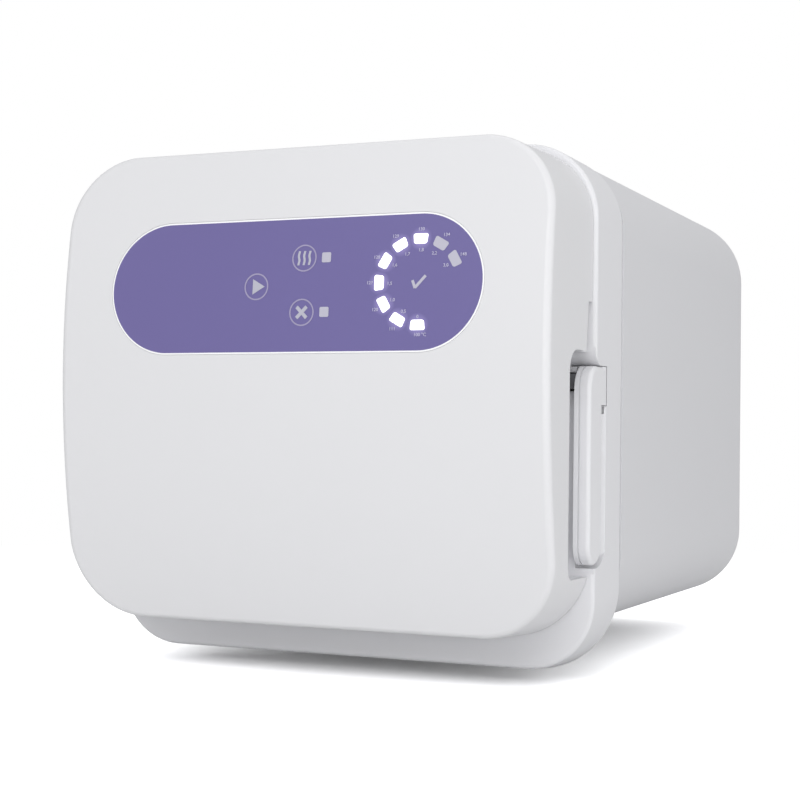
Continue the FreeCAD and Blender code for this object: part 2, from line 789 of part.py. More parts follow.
def make_door_bridge():
    half = d.bridge_height / 2
    outer = block("bridge_outer", -BRIDGE_LEFT, BRIDGE_RIGHT, BRIDGE_FRONT, BRIDGE_FRONT + d.bridge_leg,
                  rise(-half), rise(half))
    hollow = block("bridge_hollow", -BRIDGE_LEFT - 1, BRIDGE_RIGHT + 1, BRIDGE_INSIDE,
                   BRIDGE_FRONT + d.bridge_leg + 1, rise(-half) + d.bridge_sheet, rise(half) - d.bridge_sheet)
    pad_front = BRIDGE_FRONT + d.bridge_leg - 4
    pads = [block(f"bridge_pad_{side}", 106, BRIDGE_RIGHT, pad_front, PARTING - 7, z, z + d.bridge_sheet)
            for side, z in (("low", rise(-half)), ("high", rise(half) - d.bridge_sheet))]
    channel = fuse("bridge_channel", [cut("bridge_folded", outer, [hollow])] + pads)
    ears = []
    for side, low in (("low", -half), ("high", half - d.bridge_sheet)):
        z0, z1 = rise(low), rise(low) + d.bridge_sheet
        ears.append(slab_z(f"bridge_ear_{side}", z0, z1, [
            (-BRIDGE_LEFT + 4, BRIDGE_FRONT + 20), (-BRIDGE_LEFT + 4, HINGE_Y - 1),
            (-HINGE_X, HINGE_Y + d.hinge_eye_radius - 0.2), (-HINGE_X, HINGE_Y - d.hinge_eye_radius + 0.2),
        ]))
        ears.append(rod(f"bridge_eye_{side}", d.hinge_eye_radius, d.bridge_sheet, -HINGE_X, HINGE_Y, z0,
                        UPRIGHT))
    welded = fuse("bridge_welded", [channel] + ears)
    striker_x, striker_y = striker_place()
    bores = [
        rod("bridge_stud_bore", d.stud_radius + d.seat_gap, 12, 0, BRIDGE_FRONT - 4, d.axis_height),
        rod("bridge_pin_bore", d.hinge_pin_radius + d.hinge_running_gap, d.bridge_height + 4, -HINGE_X,
            HINGE_Y, rise(-half) - 2, UPRIGHT),
        rod("bridge_striker_bore", d.striker_radius, d.bridge_height + 4, striker_x, striker_y,
            rise(-half) - 2, UPRIGHT),
    ]
    node(cut("bridge", welded, bores), "door_bridge")
    node(rod("striker", d.striker_radius, d.striker_length, striker_x, striker_y, rise(-d.striker_length / 2),
             UPRIGHT), "striker_pin")


# The striker stands behind the claw of the latch lever.
def striker_place():
    claw_inner, claw_rear = lever_claw()
    return claw_inner - d.swing_gap - d.striker_radius, claw_rear + d.swing_gap + d.striker_radius


def lever_claw():
    return PIVOT_X - 15.5, PIVOT_Y - 35.2


def make_lid():
    dish, sheet, lip = d.lid_dish, d.lid_sheet, d.lid_lip
    inner_lip = d.gasket_inner_radius - d.seat_gap
    node(turned("lid", 0, LID_FRONT, d.axis_height, [
        (0, -dish), (56, -dish), (68, 0), (d.lid_radius, 0), (d.lid_radius, lip), (d.lid_radius - sheet, lip),
        (d.lid_radius - sheet, sheet), (inner_lip, sheet), (inner_lip, lip - 1), (inner_lip - sheet, lip - 1),
        (inner_lip - sheet, sheet), (67, sheet), (55, sheet - dish), (0, sheet - dish),
    ]), "pressure_lid")
    rear = d.flange_set_back - d.swing_gap
    node(turned("gasket", 0, LID_FRONT, d.axis_height, [
        (d.gasket_inner_radius, sheet), (d.gasket_outer_radius, sheet), (d.gasket_outer_radius, rear - 1),
        (d.gasket_outer_radius - 1, rear), (d.gasket_inner_radius + 1, rear),
        (d.gasket_inner_radius, rear - 1),
    ]), "lid_gasket")
    flange = 3.0
    stud_end = -dish - d.stud_length
    node(turned("stud", 0, LID_FRONT, d.axis_height, [
        (0, stud_end), (d.stud_radius - 1, stud_end), (d.stud_radius, stud_end + 1),
        (d.stud_radius, -dish - flange), (16, -dish - flange), (16, -dish), (0, -dish),
    ]), "lid_stud")
    nuts = []
    for name, start in (("front", BRIDGE_FRONT - d.nut_height), ("rear", BRIDGE_INSIDE)):
        blank = hexagon(f"nut_blank_{name}", d.nut_flats, d.nut_height, 0, start, d.axis_height)
        bore = rod(f"nut_bore_{name}", d.stud_radius + d.seat_gap, d.nut_height + 2, 0, start - 1,
                   d.axis_height)
        nuts.append(cut(f"nut_{name}", blank, [bore]))
    node(group("nuts", nuts), "lid_nuts")


# Latch handle: outer grip shell, its inner half and the steel lever

def grip_outline(inset, top=None, rear_step=True):
    front = PARTING - d.grip_front + inset
    back = PARTING + d.grip_back - inset
    radius = (d.grip_front + d.grip_back) / 2 - inset
    low = rise(-d.grip_end) + (d.grip_front + d.grip_back) / 2
    corner = d.grip_corner - inset
    if not rear_step:
        return [
            (front, low, radius), (front + radius, low - radius, radius), (back, low), (back, top),
            (front, top),
        ]
    head_low = rise(-d.head_bottom) + inset
    head_high = rise(d.head_top) - inset
    return [
        (front, low, radius), (front + radius, low - radius, radius), (back, low), (back, head_low),
        (PIVOT_Y, head_low), (PIVOT_Y, head_high), (front + corner, head_high, corner),
        (front, head_high - corner),
    ]


def lever_room(name):
    low = rise(0) - d.seat_gap * 2
    high = rise(0) + d.lever_height + d.seat_gap * 2
    eye = rod(name + "_eye", d.lever_eye_radius + d.seat_gap, high - low, PIVOT_X, PIVOT_Y, low, UPRIGHT)
    neck = block(name + "_neck", PIVOT_X - d.head_radius - 1, PIVOT_X + 1.5, PIVOT_Y - 9, PIVOT_Y + 2.6,
                 low, high)
    return [eye, neck]


def pivot_bore(name):
    low = rise(-d.head_bottom) - 2
    return rod(name, d.pivot_pin_radius + d.hinge_running_gap, d.head_bottom + d.head_top + 4, PIVOT_X,
               PIVOT_Y, low, UPRIGHT)


def handle_screw_places():
    middle = PARTING + (d.grip_back - d.grip_front) / 2
    return [(middle, rise(-30)), (middle, rise(-70))]


def make_handle():
    shell = slab_x("grip_outer", GRIP_SPLIT_X, SIDE, grip_outline(as_size(0)))
    shell = rounded_edges("grip_soft", shell, d.grip_edge_radius,
                          lambda edge: lies_between(edge, "X", SIDE.value - 0.01, SIDE.value + 1)
                          and edge.BoundBox.YMax < PIVOT_Y.value - 1)
    barrel = rod("head_barrel", d.head_radius, d.head_bottom + d.head_top, PIVOT_X, PIVOT_Y,
                 rise(-d.head_bottom), UPRIGHT)
    whole = fuse("grip_whole", [shell, barrel])
    hollow = slab_x("grip_hollow", GRIP_SPLIT_X - 1, SIDE - d.grip_wall,
                    grip_outline(d.grip_wall, rise(-12), False))
    posts = []
    for number, (y, z) in enumerate(handle_screw_places()):
        posts.append(rod(f"grip_post_{number}", 3.2, SIDE - 1 - GRIP_SPLIT_X, GRIP_SPLIT_X, y, z,
                         FACES_LEFT))
    hollow = cut("grip_room", hollow, posts)
    holes = []
    for number, (y, z) in enumerate(handle_screw_places()):
        holes.append(rod(f"grip_hole_{number}", 1.1, 4, GRIP_SPLIT_X - 0.5, y, z, FACES_LEFT))
    tools = [hollow, pivot_bore("grip_pivot_bore")] + lever_room("grip_lever") + holes
    node(cut("grip", whole, tools), "handle_shell")
    plate = slab_x("inner_plate", GRIP_INNER_X, GRIP_SPLIT_X - d.seam_depth, grip_outline(as_size(0)))
    step = slab_x("inner_step", GRIP_SPLIT_X - d.seam_depth, GRIP_SPLIT_X, grip_outline(d.seam_depth))
    inner = fuse("inner_whole", [plate, step])
    room = rod("inner_barrel_room", d.head_radius + d.seat_gap, d.head_bottom + d.head_top + 2, PIVOT_X,
               PIVOT_Y, rise(-d.head_bottom) - 1, UPRIGHT)
    bores = [rod(f"inner_hole_{n}", 1.4, 8, GRIP_INNER_X - 1, y, z, FACES_LEFT)
             for n, (y, z) in enumerate(handle_screw_places())]
    node(cut("inner", inner, [room] + lever_room("inner_lever") + bores), "handle_inner")
    screws = []
    for number, (y, z) in enumerate(handle_screw_places()):
        head = rod(f"grip_screw_head_{number}", 2.4, 1.6, GRIP_INNER_X - 1.6, y, z, FACES_LEFT)
        shank = rod(f"grip_screw_shank_{number}", 1.05, 6, GRIP_INNER_X - 0.5, y, z, FACES_LEFT)
        screws.append(fuse(f"grip_screw_{number}", [head, shank]))
    node(group("grip_screw_set", screws), "handle_screws")
    make_lever()


# Steel lever: an eye on the pivot pin, a pad on the handle's inner half and an arm with a claw
def make_lever():
    claw_inner, claw_rear = lever_claw()
    arm_outer = claw_inner + 6
    tip = claw_rear - 8.8
    pad = GRIP_INNER_X
    body = slab_z("lever_arm", rise(0), rise(0) + d.lever_height, [
        (pad, PIVOT_Y - 21.5), (arm_outer, PIVOT_Y - 24), (arm_outer, tip), (claw_inner - 7.5, tip),
        (claw_inner - 7.5, claw_rear), (claw_inner, claw_rear), (claw_inner, PIVOT_Y - 9),
        (PIVOT_X - 3, PIVOT_Y + 2), (PIVOT_X + 1, PIVOT_Y - 3), (pad, PIVOT_Y - 8),
    ])
    eye = rod("lever_eye", d.lever_eye_radius, d.lever_height, PIVOT_X, PIVOT_Y, rise(0), UPRIGHT)
    node(cut("lever", fuse("lever_blank", [body, eye]), [pivot_bore("lever_bore")]), "latch_lever")


# Front bezel: the fixed ring round the door's seat, with its chin and the handle recess

def bezel_section(y, inset):
    part = (y - PARTING) / d.bezel_depth
    bottom = d.bezel_front_bottom + (d.bezel_rear_bottom - d.bezel_front_bottom) * part
    growth_bottom = d.bezel_rear_radius_bottom - d.bezel_front_radius_bottom
    growth_top = d.bezel_rear_radius_top - d.bezel_front_radius_top
    radius_bottom = d.bezel_front_radius_bottom + growth_bottom * part
    radius_top = d.bezel_front_radius_top + growth_top * part
    return rounded(BEZEL_SIDE - inset, bottom + inset, d.bezel_top - inset, radius_bottom - inset,
                   radius_top - inset)


def bezel_solid(name, inset, y0, y1):
    return drawn(name, [(y0, bezel_section(y0, inset)), (y1, bezel_section(y1, inset))])


# The bezel's outside, with both of its edges rounded in three steps
def bezel_outside(name):
    radius = d.bezel_edge_radius
    steps = [(math.sin(math.radians(angle)), math.cos(math.radians(angle))) for angle in (0, 30, 60, 90)]
    sections = []
    for sine, cosine in steps:
        y = PARTING + radius * round(1 - cosine, 6)
        sections.append((y, bezel_section(y, radius * round(1 - sine, 6))))
    for sine, cosine in reversed(steps):
        y = BEZEL_REAR - radius * round(1 - cosine, 6)
        sections.append((y, bezel_section(y, radius * round(1 - sine, 6))))
    return drawn(name, sections)


def cabinet_outline(inset):
    half = SIDE - inset
    return rounded(half, d.cabinet_floor + inset, d.cabinet_top - inset, d.cabinet_radius_bottom - inset,
                   d.cabinet_radius_top - inset)


# Outline in X and Y of the recess under the grip: a floor and a slope that faces the door
def recess_section(grow):
    floor = RECESS_FLOOR_X - grow
    return [
        (floor, PARTING - 1), (BEZEL_SIDE + 3, PARTING - 1),
        (BEZEL_SIDE + 3, PARTING + d.recess_slope_top + grow + 1.5),
        (BEZEL_SIDE, PARTING + d.recess_slope_top + grow),
        (floor + 2, PARTING + d.recess_slope_foot + grow), (floor, PARTING + d.recess_slope_foot + grow - 2),
    ]


# Side view of the recess below the head, with its rounded lower end
def recess_side(grow):
    rear = PARTING + d.recess_slope_top + grow + 4
    low = rise(-d.recess_bottom) - grow
    high = rise(-d.head_bottom) + 1
    radius = 20 + grow
    return [
        (PARTING - 1, low), (rear - radius, low, radius), (rear, low + radius), (rear, high),
        (PARTING - 1, high),
    ]


def recess_space(name, grow):
    section = slab_z(name + "_section", rise(-d.recess_bottom) - 10, rise(d.head_top) + 12,
                     recess_section(grow))
    side = slab_x(name + "_side", POCKET_FLOOR_X - 12, BEZEL_SIDE + 6, recess_side(grow))
    lower = common(name + "_lower", [section, side])
    top = rise(d.head_top) + d.shell_gap
    low = rise(-d.head_bottom) - d.shell_gap
    head = block(name + "_head", RECESS_FLOOR_X - grow, BEZEL_SIDE + 3, PARTING - 1, PIVOT_Y + grow,
                 low - grow, top + grow)
    barrel = rod(name + "_barrel", d.head_radius + d.shell_gap + grow, top - low + 2 * grow, PIVOT_X, PIVOT_Y,
                 low - grow, UPRIGHT)
    front = block(name + "_front", RECESS_FLOOR_X - grow, BEZEL_SIDE + 3, PARTING - 1,
                  PARTING + d.grip_back + d.swing_gap + grow, high_of_recess(), top)
    bowl = slab_x(name + "_bowl", POCKET_FLOOR_X - grow, BEZEL_SIDE + 3, [
        (PARTING - 1, top - 1), (PARTING + 9 + grow, top - 1), (PARTING + 9 + grow, top + grow, -8),
        (PARTING, top + 7 + grow), (PARTING - 1, top + 7 + grow),
    ])
    return fuse(name, [lower, head, barrel, front, bowl])


def high_of_recess():
    return rise(-d.head_bottom) - 5


def make_front_bezel():
    outer = bezel_outside("bezel_outer")
    inner = bezel_solid("bezel_inner", d.bezel_wall, PARTING + d.bezel_wall, BEZEL_REAR + 3)
    shelf = block("bezel_shelf", -BEZEL_SIDE, BEZEL_SIDE, PARTING, BEZEL_REAR + 4,
                  d.cabinet_floor - d.bezel_wall, d.cabinet_floor)
    shell = cut("bezel_shell", outer, [cut("bezel_room", inner, [shelf])])
    tongue_outer = slab_y("tongue_outer", BEZEL_REAR - 2, BEZEL_REAR + d.bezel_tongue,
                          cabinet_outline(d.cover_wall + d.swing_gap))
    tongue_inner = slab_y("tongue_inner", BEZEL_REAR - 4, BEZEL_REAR + d.bezel_tongue + 2,
                          cabinet_outline(d.cover_wall + d.swing_gap + 2))
    tongue = cut("bezel_tongue", tongue_outer, [tongue_inner])
    tongue_root = cut("bezel_tongue_root", slab_y("root_outer", BEZEL_REAR - 4, BEZEL_REAR - 1,
                                                  cabinet_outline(d.cover_wall - 2)),
                      [slab_y("root_inner", BEZEL_REAR - 6, BEZEL_REAR + 1,
                              cabinet_outline(d.cover_wall + d.swing_gap + 2))])
    trim = bezel_solid("bezel_trim", as_size(1), PARTING, BEZEL_REAR)
    root_trim = common("bezel_root", [tongue_root, trim])
    cone = turned("bezel_throat", 0, PARTING, d.axis_height, [
        (d.throat_radius, d.flange_set_back + 4), (d.throat_radius, d.flange_set_back),
        (d.mouth_radius, 1), (d.mouth_radius + d.throat_wall + 1, 1),
        (d.throat_radius + d.throat_wall, d.flange_set_back + 4),
    ])
    lining = common("recess_lining", [recess_space("recess_grown", d.throat_wall),
                                      bezel_solid("lining_trim", as_size(0.5), PARTING, BEZEL_REAR)])
    solid = fuse("bezel_solid", [shell, tongue, root_trim, cone, lining])
    mouth = turned("bezel_mouth", 0, PARTING, d.axis_height, [
        (0, -3), (d.mouth_radius + 1, -3), (d.mouth_radius + 1, 0), (d.mouth_radius, 1),
        (d.throat_radius, d.flange_set_back), (d.throat_radius, d.flange_set_back + 6),
        (0, d.flange_set_back + 6),
    ])
    claw_inner, claw_rear = lever_claw()
    hook_slot = block("hook_slot", claw_inner - 1.2, GRIP_INNER_X + 3, PARTING - 1, PIVOT_Y + 3, rise(-1),
                      rise(0) + d.lever_height + 1)
    tools = [mouth, recess_space("recess", as_size(0)), hook_slot, hinge_relief("bezel_hinge_relief")]
    tools += ear_slots("bezel_ear", PARTING - 2, PARTING + 14, d.bridge_height / 2 + 0.5,
                       d.bridge_height / 2 + 0.5 + d.hinge_ear)
    tools += latch_ear_room("bezel_latch")
    tools.append(block("bezel_base_notch", -d.base_width / 2 - 0.5, d.base_width / 2 + 0.5,
                       PARTING + d.bezel_wall, BEZEL_REAR + d.bezel_tongue + 2, d.cabinet_floor,
                       BASE_TOP + 0.5))
    tools.append(block("bezel_bridge_relief", -HINGE_X - 8, -HINGE_X + 9, PARTING - 2, PARTING + 3.4,
                       rise(-d.bridge_height / 2) - 0.5, rise(d.bridge_height / 2) + 0.5))
    node(cut("bezel", solid, tools), "front_bezel")


# Where the steel frame's two latch ears stand, above and below the handle's head
def latch_ear_levels():
    above = rise(d.head_top) + d.shell_gap + 0.6
    below = rise(-d.head_bottom) - d.shell_gap - 0.6
    return [("high", above, above + 3), ("low", below - 3, below)]


def latch_ear(name, z0, z1, grow):
    radius = 4.4 + grow
    arm = slab_z(name + "_arm", z0 - grow, z1 + grow, [
        (FRAME_RIGHT - 9 - grow, PIVOT_Y - radius), (PIVOT_X, PIVOT_Y - radius), (PIVOT_X, PIVOT_Y + radius),
        (FRAME_RIGHT + 1.2, PIVOT_Y + radius), (FRAME_RIGHT + 1.2, FRAME_FRONT),
        (FRAME_RIGHT - 9 - grow, FRAME_FRONT),
    ])
    eye = rod(name + "_eye", radius, z1 - z0 + 2 * grow, PIVOT_X, PIVOT_Y, z0 - grow, UPRIGHT)
    return fuse(name, [arm, eye])


def latch_ear_room(name):
    room = [latch_ear(f"{name}_{side}", z0, z1, d.swing_gap) for side, z0, z1 in latch_ear_levels()]
    low, high = latch_ear_levels()[1][1], latch_ear_levels()[0][2]
    pin_room = d.pivot_pin_radius + d.swing_gap
    room.append(rod(f"{name}_pin", pin_room, high - low, PIVOT_X, PIVOT_Y, low, UPRIGHT))
    return room


def make_front_frame():
    half = d.frame_half_height
    plate = slab_y("frame_plate", FRAME_FRONT, FRAME_REAR, rectangle(
        -FRAME_LEFT, FRAME_RIGHT, rise(-half), rise(half), as_size(12)))
    leg = block("frame_leg", -70, 70, FRAME_FRONT, FRAME_REAR, BASE_TOP, rise(-half) + 4)
    ears = []
    for side, z0, z1 in latch_ear_levels():
        ears.append(latch_ear(f"latch_ear_{side}", z0, z1, as_size(0)))
    half_bridge = d.bridge_height / 2 + 0.5
    for side, low in (("low", -half_bridge - d.hinge_ear), ("high", half_bridge)):
        ears.append(slab_z(f"hinge_ear_{side}", rise(low), rise(low) + d.hinge_ear, [
            (-FRAME_LEFT + 12, FRAME_FRONT + 1), (-FRAME_LEFT, FRAME_REAR),
            (-HINGE_X - d.hinge_eye_radius + 0.3, HINGE_Y + 1), (-HINGE_X + 3.4, HINGE_Y - 3),
        ]))
        ears.append(rod(f"hinge_eye_{side}", d.hinge_eye_radius, d.hinge_ear, -HINGE_X, HINGE_Y, rise(low),
                        UPRIGHT))
    welded = fuse("frame_welded", [plate, leg] + ears)
    length = d.bridge_height + 2 * d.hinge_ear + 3
    pivot_low = latch_ear_levels()[1][1] - 2
    pivot_length = latch_ear_levels()[0][2] - pivot_low + 2
    bores = [
        rod("frame_bore", CHAMBER_OUTSIDE + d.seat_gap, 12, 0, FRAME_FRONT - 4, d.axis_height),
        rod("frame_hinge_bore", d.hinge_pin_radius, length, -HINGE_X, HINGE_Y, rise(-length / 2), UPRIGHT),
        rod("frame_pivot_bore", d.pivot_pin_radius, pivot_length, PIVOT_X, PIVOT_Y, pivot_low, UPRIGHT),
    ]
    node(cut("frame", welded, bores), "front_frame")
    pin_length = length - 1.4
    node(rod("hinge_pin_rod", d.hinge_pin_radius, pin_length, -HINGE_X, HINGE_Y, rise(-pin_length / 2),
             UPRIGHT), "hinge_pin")
    low = latch_ear_levels()[1][1]
    high = latch_ear_levels()[0][2]
    node(rod("pivot_rod", d.pivot_pin_radius, high - low, PIVOT_X, PIVOT_Y, low, UPRIGHT), "handle_pivot_pin")
    node(block("reed_case", 66, 78, PARTING + d.bezel_wall, PARTING + d.bezel_wall + 5,
               rise(d.liner_boss_rise) + 8, rise(d.liner_boss_rise) + 14), "door_sensor")


def make_chamber():
    inside, sheet = d.chamber_radius, d.chamber_sheet
    depth, corner = d.chamber_depth, d.chamber_corner
    node(turned("vessel", 0, FLANGE_FACE, d.axis_height, [
        (inside, 0), (inside + sheet, 0), (inside + sheet, depth - corner, corner + sheet),
        (inside - corner, depth + sheet), (0, depth + sheet), (0, depth), (inside - corner, depth, -corner),
        (inside, depth - corner),
    ]), "chamber_vessel")
    node(turned("flange", 0, FLANGE_FACE, d.axis_height, [
        (inside + sheet + d.seat_gap, 0), (d.flange_radius, 0), (d.flange_radius, d.flange_thickness),
        (inside + sheet + d.seat_gap, d.flange_thickness),
    ]), "chamber_flange")
    band_inner = inside + sheet + d.seat_gap
    band_outer = inside + sheet + d.heater_thickness
    node(turned("heater", 0, FLANGE_FACE + d.heater_start, d.axis_height, [
        (band_inner, 0), (band_outer, 0), (band_outer, d.heater_length), (band_inner, d.heater_length),
    ]), "band_heater")
    jacket_end = d.saddle_place - 2
    jacket_inner = band_outer + d.seat_gap
    jacket_outer = jacket_inner + d.jacket_thickness
    node(turned("jacket", 0, FLANGE_FACE, d.axis_height, [
        (jacket_inner, 14), (jacket_outer, 14), (jacket_outer, jacket_end), (jacket_inner, jacket_end),
    ]), "insulation_jacket")
    make_saddle()


def make_saddle():
    start = FLANGE_FACE + d.saddle_place
    plate = block("saddle_plate", -d.saddle_width / 2, d.saddle_width / 2, start, start + d.saddle_sheet,
                  BASE_TOP, d.axis_height - 30)
    foot = block("saddle_foot", -d.saddle_width / 2, d.saddle_width / 2, start, start + 18, BASE_TOP,
                 BASE_TOP + d.saddle_sheet)
    seat = rod("saddle_seat", CHAMBER_OUTSIDE + d.seat_gap, 30, 0, start - 5, d.axis_height)
    node(cut("saddle", fuse("saddle_blank", [plate, foot]), [seat]), "chamber_saddle")


def make_rack_and_trays():
    half, sheet = d.rack_half_width, d.rack_sheet
    start = FLANGE_FACE + 18
    end = start + d.rack_length
    reach = root(d.chamber_radius * d.chamber_radius - half * half) - d.seat_gap * 2
    pieces = []
    for side, x in (("left", -half), ("right", half - sheet)):
        pieces.append(block(f"rack_side_{side}", x, x + sheet, start, end, rise(-reach), rise(d.rack_top)))
    for level in range(3):
        z = rise(-d.tray_first_drop + level * d.tray_pitch)
        for side, x in (("left", -half + sheet - 0.2), ("right", half - sheet - 3.8)):
            pieces.append(block(f"rack_rail_{side}_{level}", x, x + 4, start, end, z - sheet, z))
    for number, y in enumerate((start, end - 8)):
        pieces.append(block(f"rack_tie_{number}", -half + 0.5, half - 0.5, y, y + 8, rise(-reach) + 4,
                            rise(-reach) + 4 + sheet))
    node(fuse("rack", pieces), "tray_rack")
    tray_half = half - sheet - d.tray_gap
    for level in range(3):
        z = rise(-d.tray_first_drop + level * d.tray_pitch)
        make_tray(level, tray_half, start + 1, end - 1, z)


def make_tray(level, half, start, end, z):
    name = f"tray_{level + 1}"
    outer = slab_z(name + "_outer", z, z + d.tray_height, rectangle(-half, half, start, end, as_size(6)))
    sheet = d.tray_sheet
    room = slab_z(name + "_room", z + sheet, z + d.tray_height + 2, rectangle(
        -half + sheet, half - sheet, start + sheet, end - sheet, 6 - sheet))
    slots = []
    count = int(DIMENSIONS["tray_slots"])
    pitch = (end - start) / (d.tray_slots + 1)
    for number in range(count):
        middle = start + pitch * (number + 1)
        slots.append(block(f"{name}_slot_{number}", -half + 16, half - 16, middle - 2.5, middle + 2.5, z - 1,
                           z + d.tray_sheet + 1))
    node(cut(name + "_pressed", outer, [room] + slots), name)


# Whether an edge lies in a plane across the depth
def lies_at(edge, y):
    return lies_between(edge, "Y", y.value - 0.01, y.value + 0.01)


def make_cabinet_cover():
    start = BEZEL_REAR + d.shell_gap
    outer = slab_y("cover_outer", start, REAR, cabinet_outline(as_size(0)))
    outer = rounded_edges("cover_soft", outer, d.cabinet_rear_radius, lambda edge: lies_at(edge, REAR))
    inner = slab_y("cover_inner", start - 2, REAR - d.cover_wall, cabinet_outline(d.cover_wall))
    inner = rounded_edges("cover_inner_soft", inner, d.cabinet_rear_radius - d.cover_wall,
                          lambda edge: lies_at(edge, PANEL_FACE))
    opening = slab_y("cover_opening", REAR - 20, REAR + 5, rectangle(
        -d.rear_opening_width / 2, d.rear_opening_width / 2, d.axis_height - d.rear_opening_height / 2,
        d.axis_height + d.rear_opening_height / 2, d.rear_opening_radius))
    holes = [rod(f"cover_foot_hole_{n}", 2.6, 10, x, y, d.cabinet_floor - 3, UPRIGHT)
             for n, (x, y) in enumerate(foot_places())]
    holes += [rod(f"cover_screw_hole_{n}", d.screw_radius + d.seat_gap, 10, x, REAR - 8, z)
              for n, (x, z) in enumerate(panel_screw_places())]
    node(cut("cover", outer, [inner, opening] + holes), "cabinet_cover")


def foot_places():
    places = []
    for half, y in ((d.foot_front_x, PARTING + d.foot_front), (d.foot_rear_x, PARTING + d.foot_rear)):
        places.extend([(-half, y), (half, y)])
    return places


def make_base():
    half = d.base_width / 2
    start, end = FRAME_FRONT - 2, REAR - d.cabinet_rear_radius - 1
    plate = block("base_floor", -half, half, start, end, BASE_UNDER, BASE_TOP)
    sides = []
    for side, x in (("left", -half), ("right", half - d.base_sheet)):
        sides.append(block(f"base_side_{side}", x, x + d.base_sheet, BEZEL_REAR + 12, end, BASE_UNDER,
                           BASE_UNDER + d.base_edge))
    holes = [rod(f"base_foot_hole_{n}", 2.6, 10, x, y, BASE_UNDER - 3, UPRIGHT)
             for n, (x, y) in enumerate(foot_places())]
    node(cut("base", fuse("base_blank", [plate] + sides), holes), "base_plate")
    for number, (x, y) in enumerate(foot_places()):
        foot = turned(f"foot_{number}", x, y, 0, [
            (0, 0), (d.foot_radius - 1, 0), (d.foot_radius, 1), (d.foot_radius - 2.5, d.cabinet_floor),
            (3, d.cabinet_floor), (3, 9), (0, 9),
        ], Rotation(Vector(1, 0, 0), 90))
        node(foot, f"rubber_foot_{number + 1}")
    screws = []
    for number, (x, y) in enumerate(foot_places()):
        screws.append(rod(f"foot_bolt_{number}", 2.5, BASE_TOP + 3 - 9, x, y, 9, UPRIGHT))
        nut = hexagon(f"foot_nut_blank_{number}", as_size(8), 3, x, y, BASE_TOP, UPRIGHT)
        bolt = fuse(f"foot_screw_{number}", [screws.pop(), nut])
        screws.append(bolt)
    node(group("foot_screw_set", screws), "foot_screws")


# Rear panel and what is fixed to it

def inlet_hole():
    return rectangle(d.inlet_x - 13.5, d.inlet_x + 13.5, LOW_SERVICES - 9.8, LOW_SERVICES + 9.8)


def switch_hole():
    return rectangle(d.switch_x - 7.5, d.switch_x + 7.5, LOW_SERVICES - 13.5, LOW_SERVICES + 13.5)


def fuse_places():
    return [(d.fuse_x, LOW_SERVICES), (d.fuse_x - d.fuse_pitch, LOW_SERVICES)]


def panel_screw_places():
    half_x = d.rear_opening_width / 2 + 3.5
    return [(sign_x * half_x, d.axis_height + sign_z * 60) for sign_x in (-1, 1) for sign_z in (-1, 1)]


def make_rear_panel():
    half_x = d.rear_opening_width / 2 + 7
    half_z = d.rear_opening_height / 2 + 7
    plate = slab_y("panel_plate", PANEL_INSIDE, PANEL_FACE, rectangle(
        -half_x, half_x, d.axis_height - half_z, d.axis_height + half_z, d.rear_opening_radius + 2))
    holes = [
        slab_y("panel_inlet_hole", PANEL_INSIDE - 2, PANEL_FACE + 2, inlet_hole()),
        slab_y("panel_switch_hole", PANEL_INSIDE - 2, PANEL_FACE + 2, switch_hole()),
        rod("panel_outlet_hole", 5 + d.seat_gap, 8, d.outlet_x, PANEL_INSIDE - 3, LOW_SERVICES),
    ]
    for number, (x, z) in enumerate(fuse_places()):
        holes.append(rod(f"panel_fuse_hole_{number}", 6 + d.seat_gap, 8, x, PANEL_INSIDE - 3, z))
    count = int(DIMENSIONS["vent_count"])
    for number in range(count):
        x = (number - (count - 1) / 2) * d.vent_pitch
        holes.append(block(f"vent_{number}", x - d.vent_width / 2, x + d.vent_width / 2, PANEL_INSIDE - 2,
                           PANEL_FACE + 2, rise(d.vent_rise) - d.vent_height / 2,
                           rise(d.vent_rise) + d.vent_height / 2))
    screws = []
    for number, (x, z) in enumerate(panel_screw_places()):
        holes.append(rod(f"panel_screw_hole_{number}", d.screw_radius, 8, x, PANEL_INSIDE - 3, z))
        screws.append(turned(f"panel_screw_{number}", x, REAR, z, [
            (0, -8), (d.screw_radius, -8), (d.screw_radius, 0), (2.8, 0), (2.8, 0.8), (1.8, 1.6), (0, 1.6),
        ]))
    node(cut("panel", plate, holes), "rear_panel")
    node(group("panel_screw_set", screws), "rear_panel_screws")


def make_mains_inlet():
    x, z = d.inlet_x, LOW_SERVICES
    flange = slab_y("inlet_flange", PANEL_FACE, PANEL_FACE + 2.4,
                    rectangle(x - 25, x + 25, z - 11.5, z + 11.5, as_size(5)))
    case = block("inlet_case", x - 13.4, x + 13.4, PANEL_FACE - 22, PANEL_FACE + 1, z - 9.7, z + 9.7)
    socket = slab_y("inlet_socket", PANEL_FACE - 16, PANEL_FACE + 4, [
        (x - 12, z - 8), (x + 12, z - 8), (x + 12, z + 4), (x + 8, z + 8), (x - 8, z + 8), (x - 12, z + 4),
    ])
    node(cut("inlet", fuse("inlet_blank", [flange, case]), [socket] + blades("inlet_blade_hole", 0)),
         "mains_inlet")
    node(group("blade_set", blades("inlet_blade", 0)), "inlet_blades")


def blades(name, grow):
    x, z = d.inlet_x, LOW_SERVICES
    places = [(x - 7, z - 2), (x, z + 2), (x + 7, z - 2)]
    return [block(f"{name}_{n}", px - 1, px + 1, PANEL_FACE - 26, PANEL_FACE - 3, pz - 2, pz + 2)
            for n, (px, pz) in enumerate(places)]


